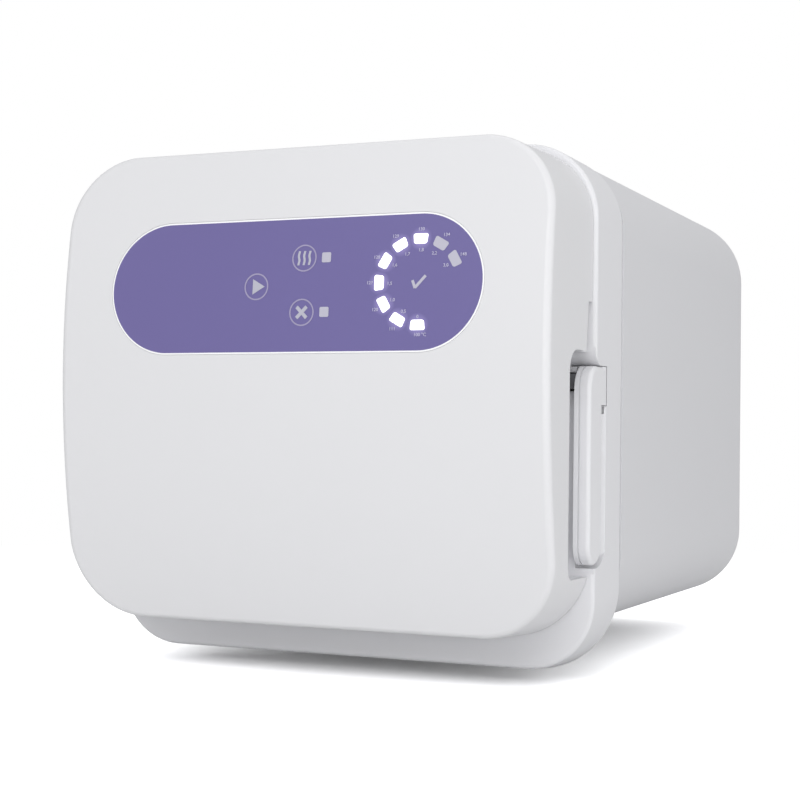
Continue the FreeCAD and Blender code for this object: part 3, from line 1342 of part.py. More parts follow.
def make_power_switch():
    x, z = d.switch_x, LOW_SERVICES
    flange = slab_y("switch_flange", PANEL_FACE, PANEL_FACE + 2,
                    rectangle(x - 9.5, x + 9.5, z - 15.5, z + 15.5, as_size(2)))
    case = block("switch_case", x - 7.4, x + 7.4, PANEL_FACE - 20, PANEL_FACE + 1, z - 13.4, z + 13.4)
    room = block("switch_room", x - 6, x + 6, PANEL_FACE - 12, PANEL_FACE + 4, z - 11.6, z + 11.6)
    pin = rod("switch_axle", 1.2, 13, x - 6.5, PANEL_FACE - 5, z, FACES_LEFT)
    node(fuse("switch_frame", [cut("switch_body", fuse("switch_blank", [flange, case]), [room]), pin]),
         "power_switch_frame")
    profile = slab_x("rocker_profile", -5.6, 5.6, [
        (-4, -8), (6.6, -10), (5, 0), (6.6, 10), (-4, 8),
    ])
    bore = rod("rocker_bore", 1.25, 20, -10, 0, 0, FACES_LEFT)
    rocker = cut("rocker_shape", profile, [bore])
    put(rocker, x, PANEL_FACE - 5, z, Rotation(Vector(1, 0, 0), 9))
    node(rocker, "switch_rocker")


def make_rear_fittings():
    for number, (x, z) in enumerate(fuse_places()):
        node(turned(f"fuse_holder_{number}", x, PANEL_FACE, z, [
            (0, -26), (5, -26), (5, -3), (6, -3), (6, 0), (8, 0), (8, 2), (6.2, 2.5), (5.8, 4.5), (0, 4.5),
        ]), f"fuse_holder_{number + 1}")
    reach = d.cover_wall + d.outlet_reach
    node(turned("outlet_fitting", d.outlet_x, PANEL_FACE, LOW_SERVICES, [
        (2, -14), (5, -14), (5, 0), (8, 0), (8, 2.5), (3.6, 2.5), (3.6, reach - 8), (4.4, reach - 8),
        (3.2, reach - 4), (4.4, reach - 4), (3.2, reach), (2, reach),
    ]), "drain_outlet")


# Services behind the chamber: exhaust line, valves, sensors and the power board

def make_services():
    z_low = LOW_SERVICES
    port_y = CHAMBER_END
    node(pipe_line(), "exhaust_pipe")
    front, back = PANEL_FACE - 36, PANEL_FACE - 14
    body = block("solenoid_body", d.outlet_x - 11, d.outlet_x + 11, front, back, z_low - 9, z_low + 9)
    coil = block("solenoid_coil", d.outlet_x - 10, d.outlet_x + 10, front, back, z_low + 9, z_low + 40)
    node(fuse("solenoid", [body, coil]), "solenoid_valve")
    node(turned("relief_valve", 30, port_y, rise(28), [
        (0, 0), (6, 0), (6, 8), (10, 8), (10, 14), (8, 14), (8, 34), (5, 36), (5, 40), (0, 40),
    ]), "safety_valve")
    node(turned("pressure_cell", -26, port_y, rise(34), [
        (0, 0), (5, 0), (5, 7), (9, 7), (9, 20), (7, 20), (7, 32), (0, 32),
    ]), "pressure_sensor")
    node(turned("probe", 0, port_y, rise(-6), [
        (0, 0), (4.5, 0), (4.5, 5), (6, 5), (6, 11), (2, 11), (2, 26), (0, 26),
    ]), "temperature_probe")
    node(turned("cutout", 44, port_y, rise(-14), [
        (0, 0), (8, 0), (8, 4), (6, 4), (6, 12), (0, 12),
    ]), "overheat_cutout")
    make_power_board()


# A straight run behind the chamber's low port, a bend, and a run across to the solenoid valve
def pipe_line():
    start_z = rise(-52)
    length = 17
    body = new_body("pipe")
    path = new_sketch(body, "pipe_path", "XY_Plane")
    bend = 12.0
    far_x = d.outlet_x + 11
    run_y = CHAMBER_END + length + bend
    points = [Vector(0, CHAMBER_END.value, 0), Vector(0, CHAMBER_END.value + length, 0),
              Vector(-bend, run_y.value, 0), Vector(far_x.value, run_y.value, 0)]
    path.addGeometry(Part.LineSegment(points[0], points[1]))
    circle = Part.Circle(Vector(-bend, CHAMBER_END.value + length, 0), Vector(0, 0, 1), bend)
    path.addGeometry(Part.ArcOfCircle(circle, 0, math.pi / 2))
    path.addGeometry(Part.LineSegment(points[2], points[3]))
    path.addConstraint(Sketcher.Constraint("Coincident", 0, 2, 1, 1))
    path.addConstraint(Sketcher.Constraint("Coincident", 1, 2, 2, 1))
    pin_point(path, "start", 0, 1, as_size(0), CHAMBER_END)
    pin_point(path, "turn_in", 1, 1, as_size(0), CHAMBER_END + length)
    pin_point(path, "turn_out", 1, 2, as_size(-bend), run_y)
    pin_point(path, "end", 2, 2, far_x, run_y)
    fixed = path.addConstraint(Sketcher.Constraint("Radius", 1, bend))
    path.renameConstraint(fixed, "bend")
    bind(path, "Constraints.bend", bend)
    section = new_sketch(body, "pipe_section", "XZ_Plane", -CHAMBER_END)
    disc(section, 0, 0, 3)
    sweep = body.newObject("PartDesign::AdditivePipe", "pipe_sweep")
    sweep.Profile = section
    sweep.Spine = path
    return put(body, 0, 0, start_z)


def make_power_board():
    left = -d.base_width / 2
    x = left - 6
    rear = REAR - d.card_inset
    front = rear - d.card_length
    node(block("power_card", x, x + 1.6, front, rear, BASE_TOP + 14, BASE_TOP + 100), "power_board")
    node(block("relay_case", x + 1.6, x + 17.6, front + 15, front + 45, BASE_TOP + 60, BASE_TOP + 78),
         "heater_relay")
    node(block("supply_case", x - 12, x, rear - 70, rear - 30, BASE_TOP + 40, BASE_TOP + 80), "power_supply")
    node(block("card_bracket", x + 1.6, left, front + 10, rear - 10, BASE_UNDER + 1, BASE_TOP + 24),
         "board_bracket")


def build():
    make_door_fascia()
    make_control_panel()
    make_door_liner()
    make_handle_pocket()
    make_door_bridge()
    make_lid()
    make_handle()
    make_front_bezel()
    make_front_frame()
    make_chamber()
    make_rack_and_trays()
    make_cabinet_cover()
    make_base()
    make_rear_panel()
    make_mains_inlet()
    make_power_switch()
    make_rear_fittings()
    make_services()
    doc.recompute()


def check_objects():
    bad = [thing.Name for thing in doc.Objects if "Invalid" in thing.State or "Error" in thing.State]
    for thing in nodes:
        if thing.Shape.isNull() or not thing.Shape.isValid() or not thing.Shape.Solids:
            bad.append(thing.Label)
    if bad:
        raise RuntimeError("failed: " + ", ".join(bad))


def write_parts():
    os.makedirs(PARTS_FOLDER, exist_ok=True)
    for thing in nodes:
        thing.Shape.exportStep(os.path.join(PARTS_FOLDER, thing.Label + ".step"))
        box = thing.Shape.BoundBox
        print(f"{thing.Label}: {len(thing.Shape.Solids)} solids, {thing.Shape.Volume:.0f} mm3, "
              f"x {box.XMin:.1f} to {box.XMax:.1f}, y {box.YMin:.1f} to {box.YMax:.1f}, "
              f"z {box.ZMin:.1f} to {box.ZMax:.1f}")
    print(f"{len(nodes)} nodes")


build()
check_objects()
write_parts()
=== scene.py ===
import math
import bmesh
import bpy
from mathutils import Matrix, Vector


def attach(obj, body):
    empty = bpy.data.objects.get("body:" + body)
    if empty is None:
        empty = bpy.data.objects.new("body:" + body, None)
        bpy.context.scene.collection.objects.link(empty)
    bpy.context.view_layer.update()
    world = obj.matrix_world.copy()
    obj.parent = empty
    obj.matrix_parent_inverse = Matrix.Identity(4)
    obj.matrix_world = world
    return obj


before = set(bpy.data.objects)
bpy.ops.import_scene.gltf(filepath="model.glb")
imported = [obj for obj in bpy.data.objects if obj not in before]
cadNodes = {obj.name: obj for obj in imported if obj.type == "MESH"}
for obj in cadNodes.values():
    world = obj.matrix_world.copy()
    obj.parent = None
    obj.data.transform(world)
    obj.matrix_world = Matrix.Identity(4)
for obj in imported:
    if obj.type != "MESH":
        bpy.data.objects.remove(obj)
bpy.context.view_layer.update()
print("frame loaded:", len(cadNodes), "nodes")


# Camera, set from the photograph
camera = {
    "place": (0.399817, -0.974572, 0.131864),
    "turnLeft": 24.039,
    "lookUp": 1.262,
    "lean": 0.7215,
    "lens": 74.04,
}


def addCamera():
    turn, look, lean = (math.radians(camera[key]) for key in ("turnLeft", "lookUp", "lean"))
    ahead = Vector((-math.sin(turn) * math.cos(look), math.cos(turn) * math.cos(look), math.sin(look)))
    level = Vector((math.cos(turn), math.sin(turn), 0))
    upward = level.cross(ahead)
    right = math.cos(lean) * level + math.sin(lean) * upward
    top = -math.sin(lean) * level + math.cos(lean) * upward
    bpy.ops.object.camera_add(location=camera["place"])
    cam = bpy.context.object
    cam.name = "photoCamera"
    cam.data.lens = camera["lens"]
    cam.data.sensor_width = 36
    cam.data.clip_end = 60
    axes = Matrix((right, top, -ahead)).transposed()
    cam.rotation_euler = axes.to_euler()
    bpy.context.scene.camera = cam


# Light: a bright room with soft boxes in front, low beside the camera, at the side and above.
# The camera sees the floor brighter than it is, so that only the object's shadow shows on white.
studio = {
    "roomStrength": 0.56,
    "roomColor": (0.985, 0.99, 1.0),
    "floorSize": 8.0,
    "floorBounce": 0.88,
    "floorPaper": 2.2,
    "floorLift": 0.04,
    "floorFade": (0.42, 1.0),
    "boxes": {
        "frontBox": {"place": (0.5, -2.3, 1.3), "aim": (0.0, -0.15, 0.15), "size": (1.6, 1.2), "watts": 19},
        "lowFill": {"place": (1.0, -2.0, 0.25), "aim": (0.05, -0.15, 0.10), "size": (0.7, 0.4), "watts": 5},
        "sideBox": {"place": (2.1, -0.7, 0.45), "aim": (0.1, 0.0, 0.10), "size": (1.2, 0.9), "watts": 6.5},
        "topBox": {"place": (0.0, 0.1, 2.1), "aim": (0.0, 0.0, 0.2), "size": (1.8, 1.8), "watts": 8},
    },
}


def addLights():
    for name, box in studio["boxes"].items():
        bpy.ops.object.light_add(type="AREA", location=box["place"])
        lamp = bpy.context.object
        lamp.name = name
        lamp.data.shape = "RECTANGLE"
        lamp.data.size, lamp.data.size_y = box["size"]
        lamp.data.energy = box["watts"]
        aim = Vector(box["aim"]) - Vector(box["place"])
        lamp.rotation_euler = aim.to_track_quat("-Z", "Y").to_euler()


def addRoom():
    world = bpy.data.worlds.new("studioRoom")
    bpy.context.scene.world = world
    world.use_nodes = True
    tree = world.node_tree
    tree.nodes.clear()
    out = tree.nodes.new("ShaderNodeOutputWorld")
    seen = tree.nodes.new("ShaderNodeBackground")
    seen.inputs["Color"].default_value = (1, 1, 1, 1)
    seen.inputs["Strength"].default_value = 1.0
    room = tree.nodes.new("ShaderNodeBackground")
    room.inputs["Color"].default_value = (*studio["roomColor"], 1)
    room.inputs["Strength"].default_value = studio["roomStrength"]
    path = tree.nodes.new("ShaderNodeLightPath")
    either = tree.nodes.new("ShaderNodeMath")
    either.operation = "MAXIMUM"
    mix = tree.nodes.new("ShaderNodeMixShader")
    link = tree.links.new
    link(path.outputs["Is Camera Ray"], either.inputs[0])
    link(path.outputs["Is Transmission Ray"], either.inputs[1])
    link(either.outputs[0], mix.inputs["Fac"])
    link(room.outputs[0], mix.inputs[1])
    link(seen.outputs[0], mix.inputs[2])
    link(mix.outputs[0], out.inputs["Surface"])


def addFloor():
    bpy.ops.mesh.primitive_plane_add(size=studio["floorSize"], location=(0, 0, 0))
    floor = bpy.context.object
    floor.name = "studioFloor"
    material = bpy.data.materials.new("paleFloor")
    material.use_nodes = True
    tree = material.node_tree
    tree.nodes.clear()
    link = tree.links.new
    out = tree.nodes.new("ShaderNodeOutputMaterial")
    bounce = tree.nodes.new("ShaderNodeBsdfDiffuse")
    shade = studio["floorBounce"]
    bounce.inputs["Color"].default_value = (shade, shade, shade, 1)
    paper = tree.nodes.new("ShaderNodeBsdfDiffuse")
    tone = studio["floorPaper"]
    paper.inputs["Color"].default_value = (tone, tone, tone, 1)
    lift = tree.nodes.new("ShaderNodeEmission")
    lift.inputs["Strength"].default_value = studio["floorLift"]
    lifted = tree.nodes.new("ShaderNodeAddShader")
    white = tree.nodes.new("ShaderNodeEmission")
    white.inputs["Strength"].default_value = 1.0
    coords = tree.nodes.new("ShaderNodeTexCoord")
    length = tree.nodes.new("ShaderNodeVectorMath")
    length.operation = "LENGTH"
    fade = tree.nodes.new("ShaderNodeMapRange")
    fade.interpolation_type = "SMOOTHSTEP"
    fade.inputs["From Min"].default_value, fade.inputs["From Max"].default_value = studio["floorFade"]
    far = tree.nodes.new("ShaderNodeMixShader")
    path = tree.nodes.new("ShaderNodeLightPath")
    seen = tree.nodes.new("ShaderNodeMixShader")
    link(coords.outputs["Object"], length.inputs[0])
    link(length.outputs["Value"], fade.inputs["Value"])
    link(paper.outputs[0], lifted.inputs[0])
    link(lift.outputs[0], lifted.inputs[1])
    link(fade.outputs[0], far.inputs["Fac"])
    link(lifted.outputs[0], far.inputs[1])
    link(white.outputs[0], far.inputs[2])
    link(path.outputs["Is Camera Ray"], seen.inputs["Fac"])
    link(bounce.outputs[0], seen.inputs[1])
    link(far.outputs[0], seen.inputs[2])
    link(seen.outputs[0], out.inputs["Surface"])
    floor.data.materials.append(material)


# Shared effects, each a node group with named inputs and outputs
def newGroup(name, inputs, outputs):
    group = bpy.data.node_groups.new(name, "ShaderNodeTree")
    for label, kind, value in inputs:
        socket = group.interface.new_socket(label, in_out="INPUT", socket_type=kind)
        socket.default_value = value
    for label, kind in outputs:
        group.interface.new_socket(label, in_out="OUTPUT", socket_type=kind)
    return group, group.nodes.new("NodeGroupInput"), group.nodes.new("NodeGroupOutput")


def noiseNode(tree, scale, detail=3.0, roughness=0.5):
    noise = tree.nodes.new("ShaderNodeTexNoise")
    noise.inputs["Scale"].default_value = scale
    noise.inputs["Detail"].default_value = detail
    noise.inputs["Roughness"].default_value = roughness
    return noise


def mathNode(tree, operation, first=None, second=None):
    node = tree.nodes.new("ShaderNodeMath")
    node.operation = operation
    for index, value in enumerate((first, second)):
        if value is None:
            continue
        if isinstance(value, (int, float)):
            node.inputs[index].default_value = value
        else:
            tree.links.new(value, node.inputs[index])
    return node.outputs[0]


# Fine grain of moulded or painted skins, with faint cloudiness in tone and gloss
def mouldedSkin():
    group, given, result = newGroup(
        "mouldedSkin",
        [("Color", "NodeSocketColor", (0.8, 0.8, 0.8, 1)), ("Gloss", "NodeSocketFloat", 0.3),
         ("Grain Scale", "NodeSocketFloat", 900.0), ("Tone Change", "NodeSocketFloat", 0.02)],
        [("Color", "NodeSocketColor"), ("Roughness", "NodeSocketFloat"), ("Height", "NodeSocketFloat")])
    coords = group.nodes.new("ShaderNodeTexCoord")
    grain = noiseNode(group, 900, 2.0)
    cloud = noiseNode(group, 9, 3.0)
    link = group.links.new
    link(coords.outputs["Object"], grain.inputs["Vector"])
    link(coords.outputs["Object"], cloud.inputs["Vector"])
    link(given.outputs["Grain Scale"], grain.inputs["Scale"])
    centred = mathNode(group, "SUBTRACT", cloud.outputs["Fac"], 0.5)
    change = mathNode(group, "MULTIPLY", centred, given.outputs["Tone Change"])
    bright = mathNode(group, "ADD", change, 1.0)
    tinted = group.nodes.new("ShaderNodeVectorMath")
    tinted.operation = "SCALE"
    link(given.outputs["Color"], tinted.inputs[0])
    link(bright, tinted.inputs["Scale"])
    fine = mathNode(group, "SUBTRACT", grain.outputs["Fac"], 0.5)
    gloss = mathNode(group, "ADD", given.outputs["Gloss"], mathNode(group, "MULTIPLY", fine, 0.06))
    gloss = mathNode(group, "ADD", gloss, mathNode(group, "MULTIPLY", centred, 0.08))
    link(tinted.outputs[0], result.inputs["Color"])
    link(gloss, result.inputs["Roughness"])
    link(grain.outputs["Fac"], result.inputs["Height"])
    return group


# Fine lines left by brushing, drawing or turning; Stretch sets how long they run along each axis
def brushedLines():
    group, given, result = newGroup(
        "brushedLines",
        [("Color", "NodeSocketColor", (0.6, 0.6, 0.6, 1)), ("Gloss", "NodeSocketFloat", 0.3),
         ("Stretch", "NodeSocketVector", (20.0, 900.0, 900.0)), ("Stain", "NodeSocketFloat", 0.1)],
        [("Color", "NodeSocketColor"), ("Roughness", "NodeSocketFloat"), ("Height", "NodeSocketFloat")])
    coords = group.nodes.new("ShaderNodeTexCoord")
    stretch = group.nodes.new("ShaderNodeVectorMath")
    stretch.operation = "MULTIPLY"
    lines = noiseNode(group, 1.0, 4.0, 0.6)
    cloud = noiseNode(group, 14, 4.0)
    link = group.links.new
    link(coords.outputs["Object"], stretch.inputs[0])
    link(given.outputs["Stretch"], stretch.inputs[1])
    link(stretch.outputs[0], lines.inputs["Vector"])
    link(coords.outputs["Object"], cloud.inputs["Vector"])
    streak = mathNode(group, "SUBTRACT", lines.outputs["Fac"], 0.5)
    centred = mathNode(group, "SUBTRACT", cloud.outputs["Fac"], 0.5)
    stain = mathNode(group, "MULTIPLY", centred, given.outputs["Stain"])
    change = mathNode(group, "ADD", mathNode(group, "MULTIPLY", streak, 0.22), stain)
    bright = mathNode(group, "ADD", change, 1.0)
    tinted = group.nodes.new("ShaderNodeVectorMath")
    tinted.operation = "SCALE"
    link(given.outputs["Color"], tinted.inputs[0])
    link(bright, tinted.inputs["Scale"])
    gloss = mathNode(group, "ADD", given.outputs["Gloss"], mathNode(group, "MULTIPLY", streak, 0.25))
    gloss = mathNode(group, "ADD", gloss, stain)
    link(tinted.outputs[0], result.inputs["Color"])
    link(gloss, result.inputs["Roughness"])
    link(lines.outputs["Fac"], result.inputs["Height"])
    return group


skinGroup = mouldedSkin()
brushGroup = brushedLines()


def newSurface(name):
    material = bpy.data.materials.new(name)
    material.use_nodes = True
    tree = material.node_tree
    return material, tree, tree.nodes["Principled BSDF"]


def addBump(tree, surface, height, distance, strength):
    bump = tree.nodes.new("ShaderNodeBump")
    bump.inputs["Distance"].default_value = distance
    bump.inputs["Strength"].default_value = strength
    tree.links.new(height, bump.inputs["Height"])
    tree.links.new(bump.outputs[0], surface.inputs["Normal"])


def plastic(name, color, gloss, grainScale=1200.0, grainDepth=0.25, toneChange=0.02, coat=0.0):
    material, tree, surface = newSurface(name)
    skin = tree.nodes.new("ShaderNodeGroup")
    skin.node_tree = skinGroup
    skin.inputs["Color"].default_value = (*color, 1)
    skin.inputs["Gloss"].default_value = gloss
    skin.inputs["Grain Scale"].default_value = grainScale
    skin.inputs["Tone Change"].default_value = toneChange
    tree.links.new(skin.outputs["Color"], surface.inputs["Base Color"])
    tree.links.new(skin.outputs["Roughness"], surface.inputs["Roughness"])
    surface.inputs["Coat Weight"].default_value = coat
    surface.inputs["Coat Roughness"].default_value = 0.12
    addBump(tree, surface, skin.outputs["Height"], 0.00006, grainDepth)
    return material


def metal(name, color, gloss, stretch, stain=0.08, depth=0.2, metallic=1.0):
    material, tree, surface = newSurface(name)
    lines = tree.nodes.new("ShaderNodeGroup")
    lines.node_tree = brushGroup
    lines.inputs["Color"].default_value = (*color, 1)
    lines.inputs["Gloss"].default_value = gloss
    lines.inputs["Stretch"].default_value = stretch
    lines.inputs["Stain"].default_value = stain
    tree.links.new(lines.outputs["Color"], surface.inputs["Base Color"])
    tree.links.new(lines.outputs["Roughness"], surface.inputs["Roughness"])
    surface.inputs["Metallic"].default_value = metallic
    addBump(tree, surface, lines.outputs["Height"], 0.00005, depth)
    return material


finishes = {
    "doorShell": plastic("doorShell", (0.725, 0.725, 0.74), 0.40, 2600, 0.05, 0.015),
    "cabinetShell": plastic("cabinetShell", (0.67, 0.67, 0.69), 0.52, 2600, 0.12, 0.02),
    "bezelShell": plastic("bezelShell", (0.74, 0.74, 0.76), 0.46, 2600, 0.05, 0.015),
    "linerShell": plastic("linerShell", (0.70, 0.70, 0.715), 0.42, 1200, 0.3, 0.03),
    "handleShell": plastic("handleShell", (0.76, 0.76, 0.78), 0.34, 2600, 0.05, 0.015),
    # handle_pocket: lighter than the door shell as painted light, standing in for light that does not reach
    # the deep slit beside the grip
    "pocketPaintedLight": plastic("pocketPaintedLight", (0.86, 0.86, 0.88), 0.40, 2600, 0.08, 0.03),
    "switchBlack": plastic("switchBlack", (0.018, 0.018, 0.02), 0.42, 1800, 0.35, 0.1),
    "connectorBlack": plastic("connectorBlack", (0.014, 0.014, 0.015), 0.5, 1500, 0.5, 0.1),
    "footRubber": plastic("footRubber", (0.022, 0.022, 0.022), 0.8, 2200, 0.6, 0.15),
    "gasketSilicone": plastic("gasketSilicone", (0.66, 0.63, 0.56), 0.55, 1800, 0.3, 0.05),
    "lampClear": plastic("lampClear", (0.78, 0.79, 0.72), 0.12, 900, 0.1, 0.02, 0.5),
    "rearPanelPaint": plastic("rearPanelPaint", (0.60, 0.60, 0.615), 0.5, 2600, 0.9, 0.03),
    "coilBlack": plastic("coilBlack", (0.03, 0.03, 0.034), 0.45, 1200, 0.4, 0.1),
    "chamberSteel": metal("chamberSteel", (0.62, 0.62, 0.63), 0.30, (900.0, 30.0, 900.0)),
    "lidSteel": metal("lidSteel", (0.64, 0.64, 0.65), 0.27, (30.0, 900.0, 900.0)),
    "bracketSteel": metal("bracketSteel", (0.50, 0.51, 0.52), 0.36, (500.0, 500.0, 40.0), 0.2),
    "pinSteel": metal("pinSteel", (0.60, 0.60, 0.61), 0.2, (900.0, 900.0, 900.0)),
    "screwSteel": metal("screwSteel", (0.55, 0.55, 0.56), 0.28, (700.0, 700.0, 700.0)),
    "trayAluminium": metal("trayAluminium", (0.68, 0.69, 0.70), 0.38, (900.0, 25.0, 900.0), 0.1),
    "rackSteel": metal("rackSteel", (0.60, 0.60, 0.61), 0.33, (900.0, 25.0, 900.0)),
    "sensorSteel": metal("sensorSteel", (0.52, 0.52, 0.54), 0.3, (800.0, 120.0, 800.0)),
    "heaterFoil": metal("heaterFoil", (0.62, 0.60, 0.55), 0.35, (200.0, 200.0, 200.0), 0.3, 0.8),
    "valveBrass": metal("valveBrass", (0.62, 0.45, 0.19), 0.27, (800.0, 120.0, 800.0), 0.15),
    "bladeBrass": metal("bladeBrass", (0.68, 0.52, 0.25), 0.22, (800.0, 60.0, 800.0)),
    "pipeCopper": metal("pipeCopper", (0.62, 0.31, 0.19), 0.28, (60.0, 800.0, 800.0), 0.25),
    # latch_lever: near black, a black-oxide finish made this dark also as painted shade for the dark latch
    # window beside the handle
    "leverPaintedShade": metal("leverPaintedShade", (0.05, 0.05, 0.055), 0.45, (500.0, 500.0, 40.0), 0.2, 0.2, 0.6),
    "magnetGrey": metal("magnetGrey", (0.35, 0.35, 0.36), 0.4, (600.0, 600.0, 600.0)),
}
print("finishes made:", len(finishes))


# Felt of the insulation, with crossing fibres
def jacketFelt():
    material, tree, surface = newSurface("jacketFelt")
    coords = tree.nodes.new("ShaderNodeTexCoord")
    fibre = noiseNode(tree, 420, 5.0, 0.7)
    ramp = tree.nodes.new("ShaderNodeValToRGB")
    ramp.color_ramp.elements[0].color = (0.55, 0.53, 0.46, 1)
    ramp.color_ramp.elements[1].color = (0.80, 0.79, 0.73, 1)
    tree.links.new(coords.outputs["Object"], fibre.inputs["Vector"])
    tree.links.new(fibre.outputs["Fac"], ramp.inputs["Fac"])
    tree.links.new(ramp.outputs["Color"], surface.inputs["Base Color"])
    surface.inputs["Roughness"].default_value = 0.95
    surface.inputs["Sheen Weight"].default_value = 0.3
    addBump(tree, surface, fibre.outputs["Fac"], 0.0006, 0.7)
    return material


# Circuit board: green mask with faint tracks and pads
def circuitBoard():
    material, tree, surface = newSurface("circuitBoard")
    coords = tree.nodes.new("ShaderNodeTexCoord")
    tracks = tree.nodes.new("ShaderNodeTexBrick")
    tracks.inputs["Scale"].default_value = 160
    tracks.inputs["Mortar Size"].default_value = 0.035
    tracks.inputs["Color1"].default_value = (0.012, 0.11, 0.045, 1)
    tracks.inputs["Color2"].default_value = (0.016, 0.13, 0.055, 1)
    tracks.inputs["Mortar"].default_value = (0.03, 0.20, 0.09, 1)
    turn = tree.nodes.new("ShaderNodeMapping")
    turn.inputs["Rotation"].default_value = (math.radians(90), 0, 0)
    tree.links.new(coords.outputs["Object"], turn.inputs["Vector"])
    tree.links.new(turn.outputs["Vector"], tracks.inputs["Vector"])
    tree.links.new(tracks.outputs["Color"], surface.inputs["Base Color"])
    surface.inputs["Roughness"].default_value = 0.35
    addBump(tree, surface, tracks.outputs["Fac"], 0.00008, 0.5)
    return material


# Printed film of the control panel: violet field, thin pale border and the glow round the lit lamps
panel = {
    "middle": (-0.001, 0.2095),
    "halfArcSpacing": 0.0731,
    "radius": 0.0355,
    "border": 0.0008,
    "violet": (0.150, 0.128, 0.325),
    "borderColor": (0.95, 0.95, 0.96),
    "dial": (0.0725, 0.2095),
    "dialRadius": 0.02184,
    "litSteps": 7,
    "steps": 9,
    "glow": 0.0062,
    "glowColor": (0.42, 0.36, 0.62),
    "glowStrength": 0.55,
    "gloss": 0.42,
    "grainScale": 1600.0,
    "toneChange": 0.05,
}


def dialPoint(step, radius):
    angle = math.radians(-90 - 30 * step)
    return panel["dial"][0] + radius * math.cos(angle), panel["dial"][1] + radius * math.sin(angle), angle


def lengthNode(tree, first, second):
    squares = [mathNode(tree, "MULTIPLY", side, side) for side in (first, second)]
    return mathNode(tree, "SQRT", mathNode(tree, "ADD", *squares))


def panelFilm():
    material, tree, surface = newSurface("panelFilm")
    link = tree.links.new
    coords = tree.nodes.new("ShaderNodeTexCoord")
    parts = tree.nodes.new("ShaderNodeSeparateXYZ")
    link(coords.outputs["Object"], parts.inputs[0])
    across = mathNode(tree, "ABSOLUTE", mathNode(tree, "SUBTRACT", parts.outputs["X"], panel["middle"][0]))
    beyond = mathNode(tree, "MAXIMUM", mathNode(tree, "SUBTRACT", across, panel["halfArcSpacing"]), 0.0)
    above = mathNode(tree, "SUBTRACT", parts.outputs["Z"], panel["middle"][1])
    edge = mathNode(tree, "GREATER_THAN", lengthNode(tree, beyond, above), panel["radius"] - panel["border"])
    glow = None
    for step in range(panel["litSteps"]):
        x, z, _ = dialPoint(step, panel["dialRadius"])
        sideways = mathNode(tree, "SUBTRACT", parts.outputs["X"], x)
        upward = mathNode(tree, "SUBTRACT", parts.outputs["Z"], z)
        away = mathNode(tree, "DIVIDE", lengthNode(tree, sideways, upward), panel["glow"])
        near = mathNode(tree, "MAXIMUM", mathNode(tree, "SUBTRACT", 1.0, away), 0.0)
        glow = near if glow is None else mathNode(tree, "MAXIMUM", glow, near)
    skin = tree.nodes.new("ShaderNodeGroup")
    skin.node_tree = skinGroup
    skin.inputs["Color"].default_value = (*panel["violet"], 1)
    skin.inputs["Gloss"].default_value = panel["gloss"]
    skin.inputs["Grain Scale"].default_value = panel["grainScale"]
    skin.inputs["Tone Change"].default_value = panel["toneChange"]
    mix = tree.nodes.new("ShaderNodeMix")
    mix.data_type = "RGBA"
    link(edge, mix.inputs["Factor"])
    link(skin.outputs["Color"], mix.inputs["A"])
    mix.inputs["B"].default_value = (*panel["borderColor"], 1)
    link(mix.outputs["Result"], surface.inputs["Base Color"])
    link(skin.outputs["Roughness"], surface.inputs["Roughness"])
    tint = tree.nodes.new("ShaderNodeVectorMath")
    tint.operation = "SCALE"
    tint.inputs[0].default_value = panel["glowColor"]
    link(glow, tint.inputs["Scale"])
    link(tint.outputs[0], surface.inputs["Emission Color"])
    surface.inputs["Emission Strength"].default_value = panel["glowStrength"]
    addBump(tree, surface, skin.outputs["Height"], 0.00004, 0.2)
    return material


def inkSurface(name, color, glow=0.0):
    material = plastic(name, color, 0.45, 2000, 0.1, 0.03)
    surface = material.node_tree.nodes["Principled BSDF"]
    surface.inputs["Emission Color"].default_value = (1, 0.99, 1, 1)
    surface.inputs["Emission Strength"].default_value = glow
    return material


finishes["jacketFelt"] = jacketFelt()
finishes["circuitBoard"] = circuitBoard()
finishes["panelFilm"] = panelFilm()
finishes["paleInk"] = inkSurface("paleInk", (0.46, 0.46, 0.54))
finishes["ringInk"] = inkSurface("ringInk", (0.34, 0.31, 0.47))
finishes["numberInk"] = inkSurface("numberInk", (0.55, 0.53, 0.70))
finishes["litLamp"] = inkSurface("litLamp", (0.9, 0.9, 0.9), 1.0)
finishes["dimLamp"] = inkSurface("dimLamp", (0.49, 0.48, 0.57))

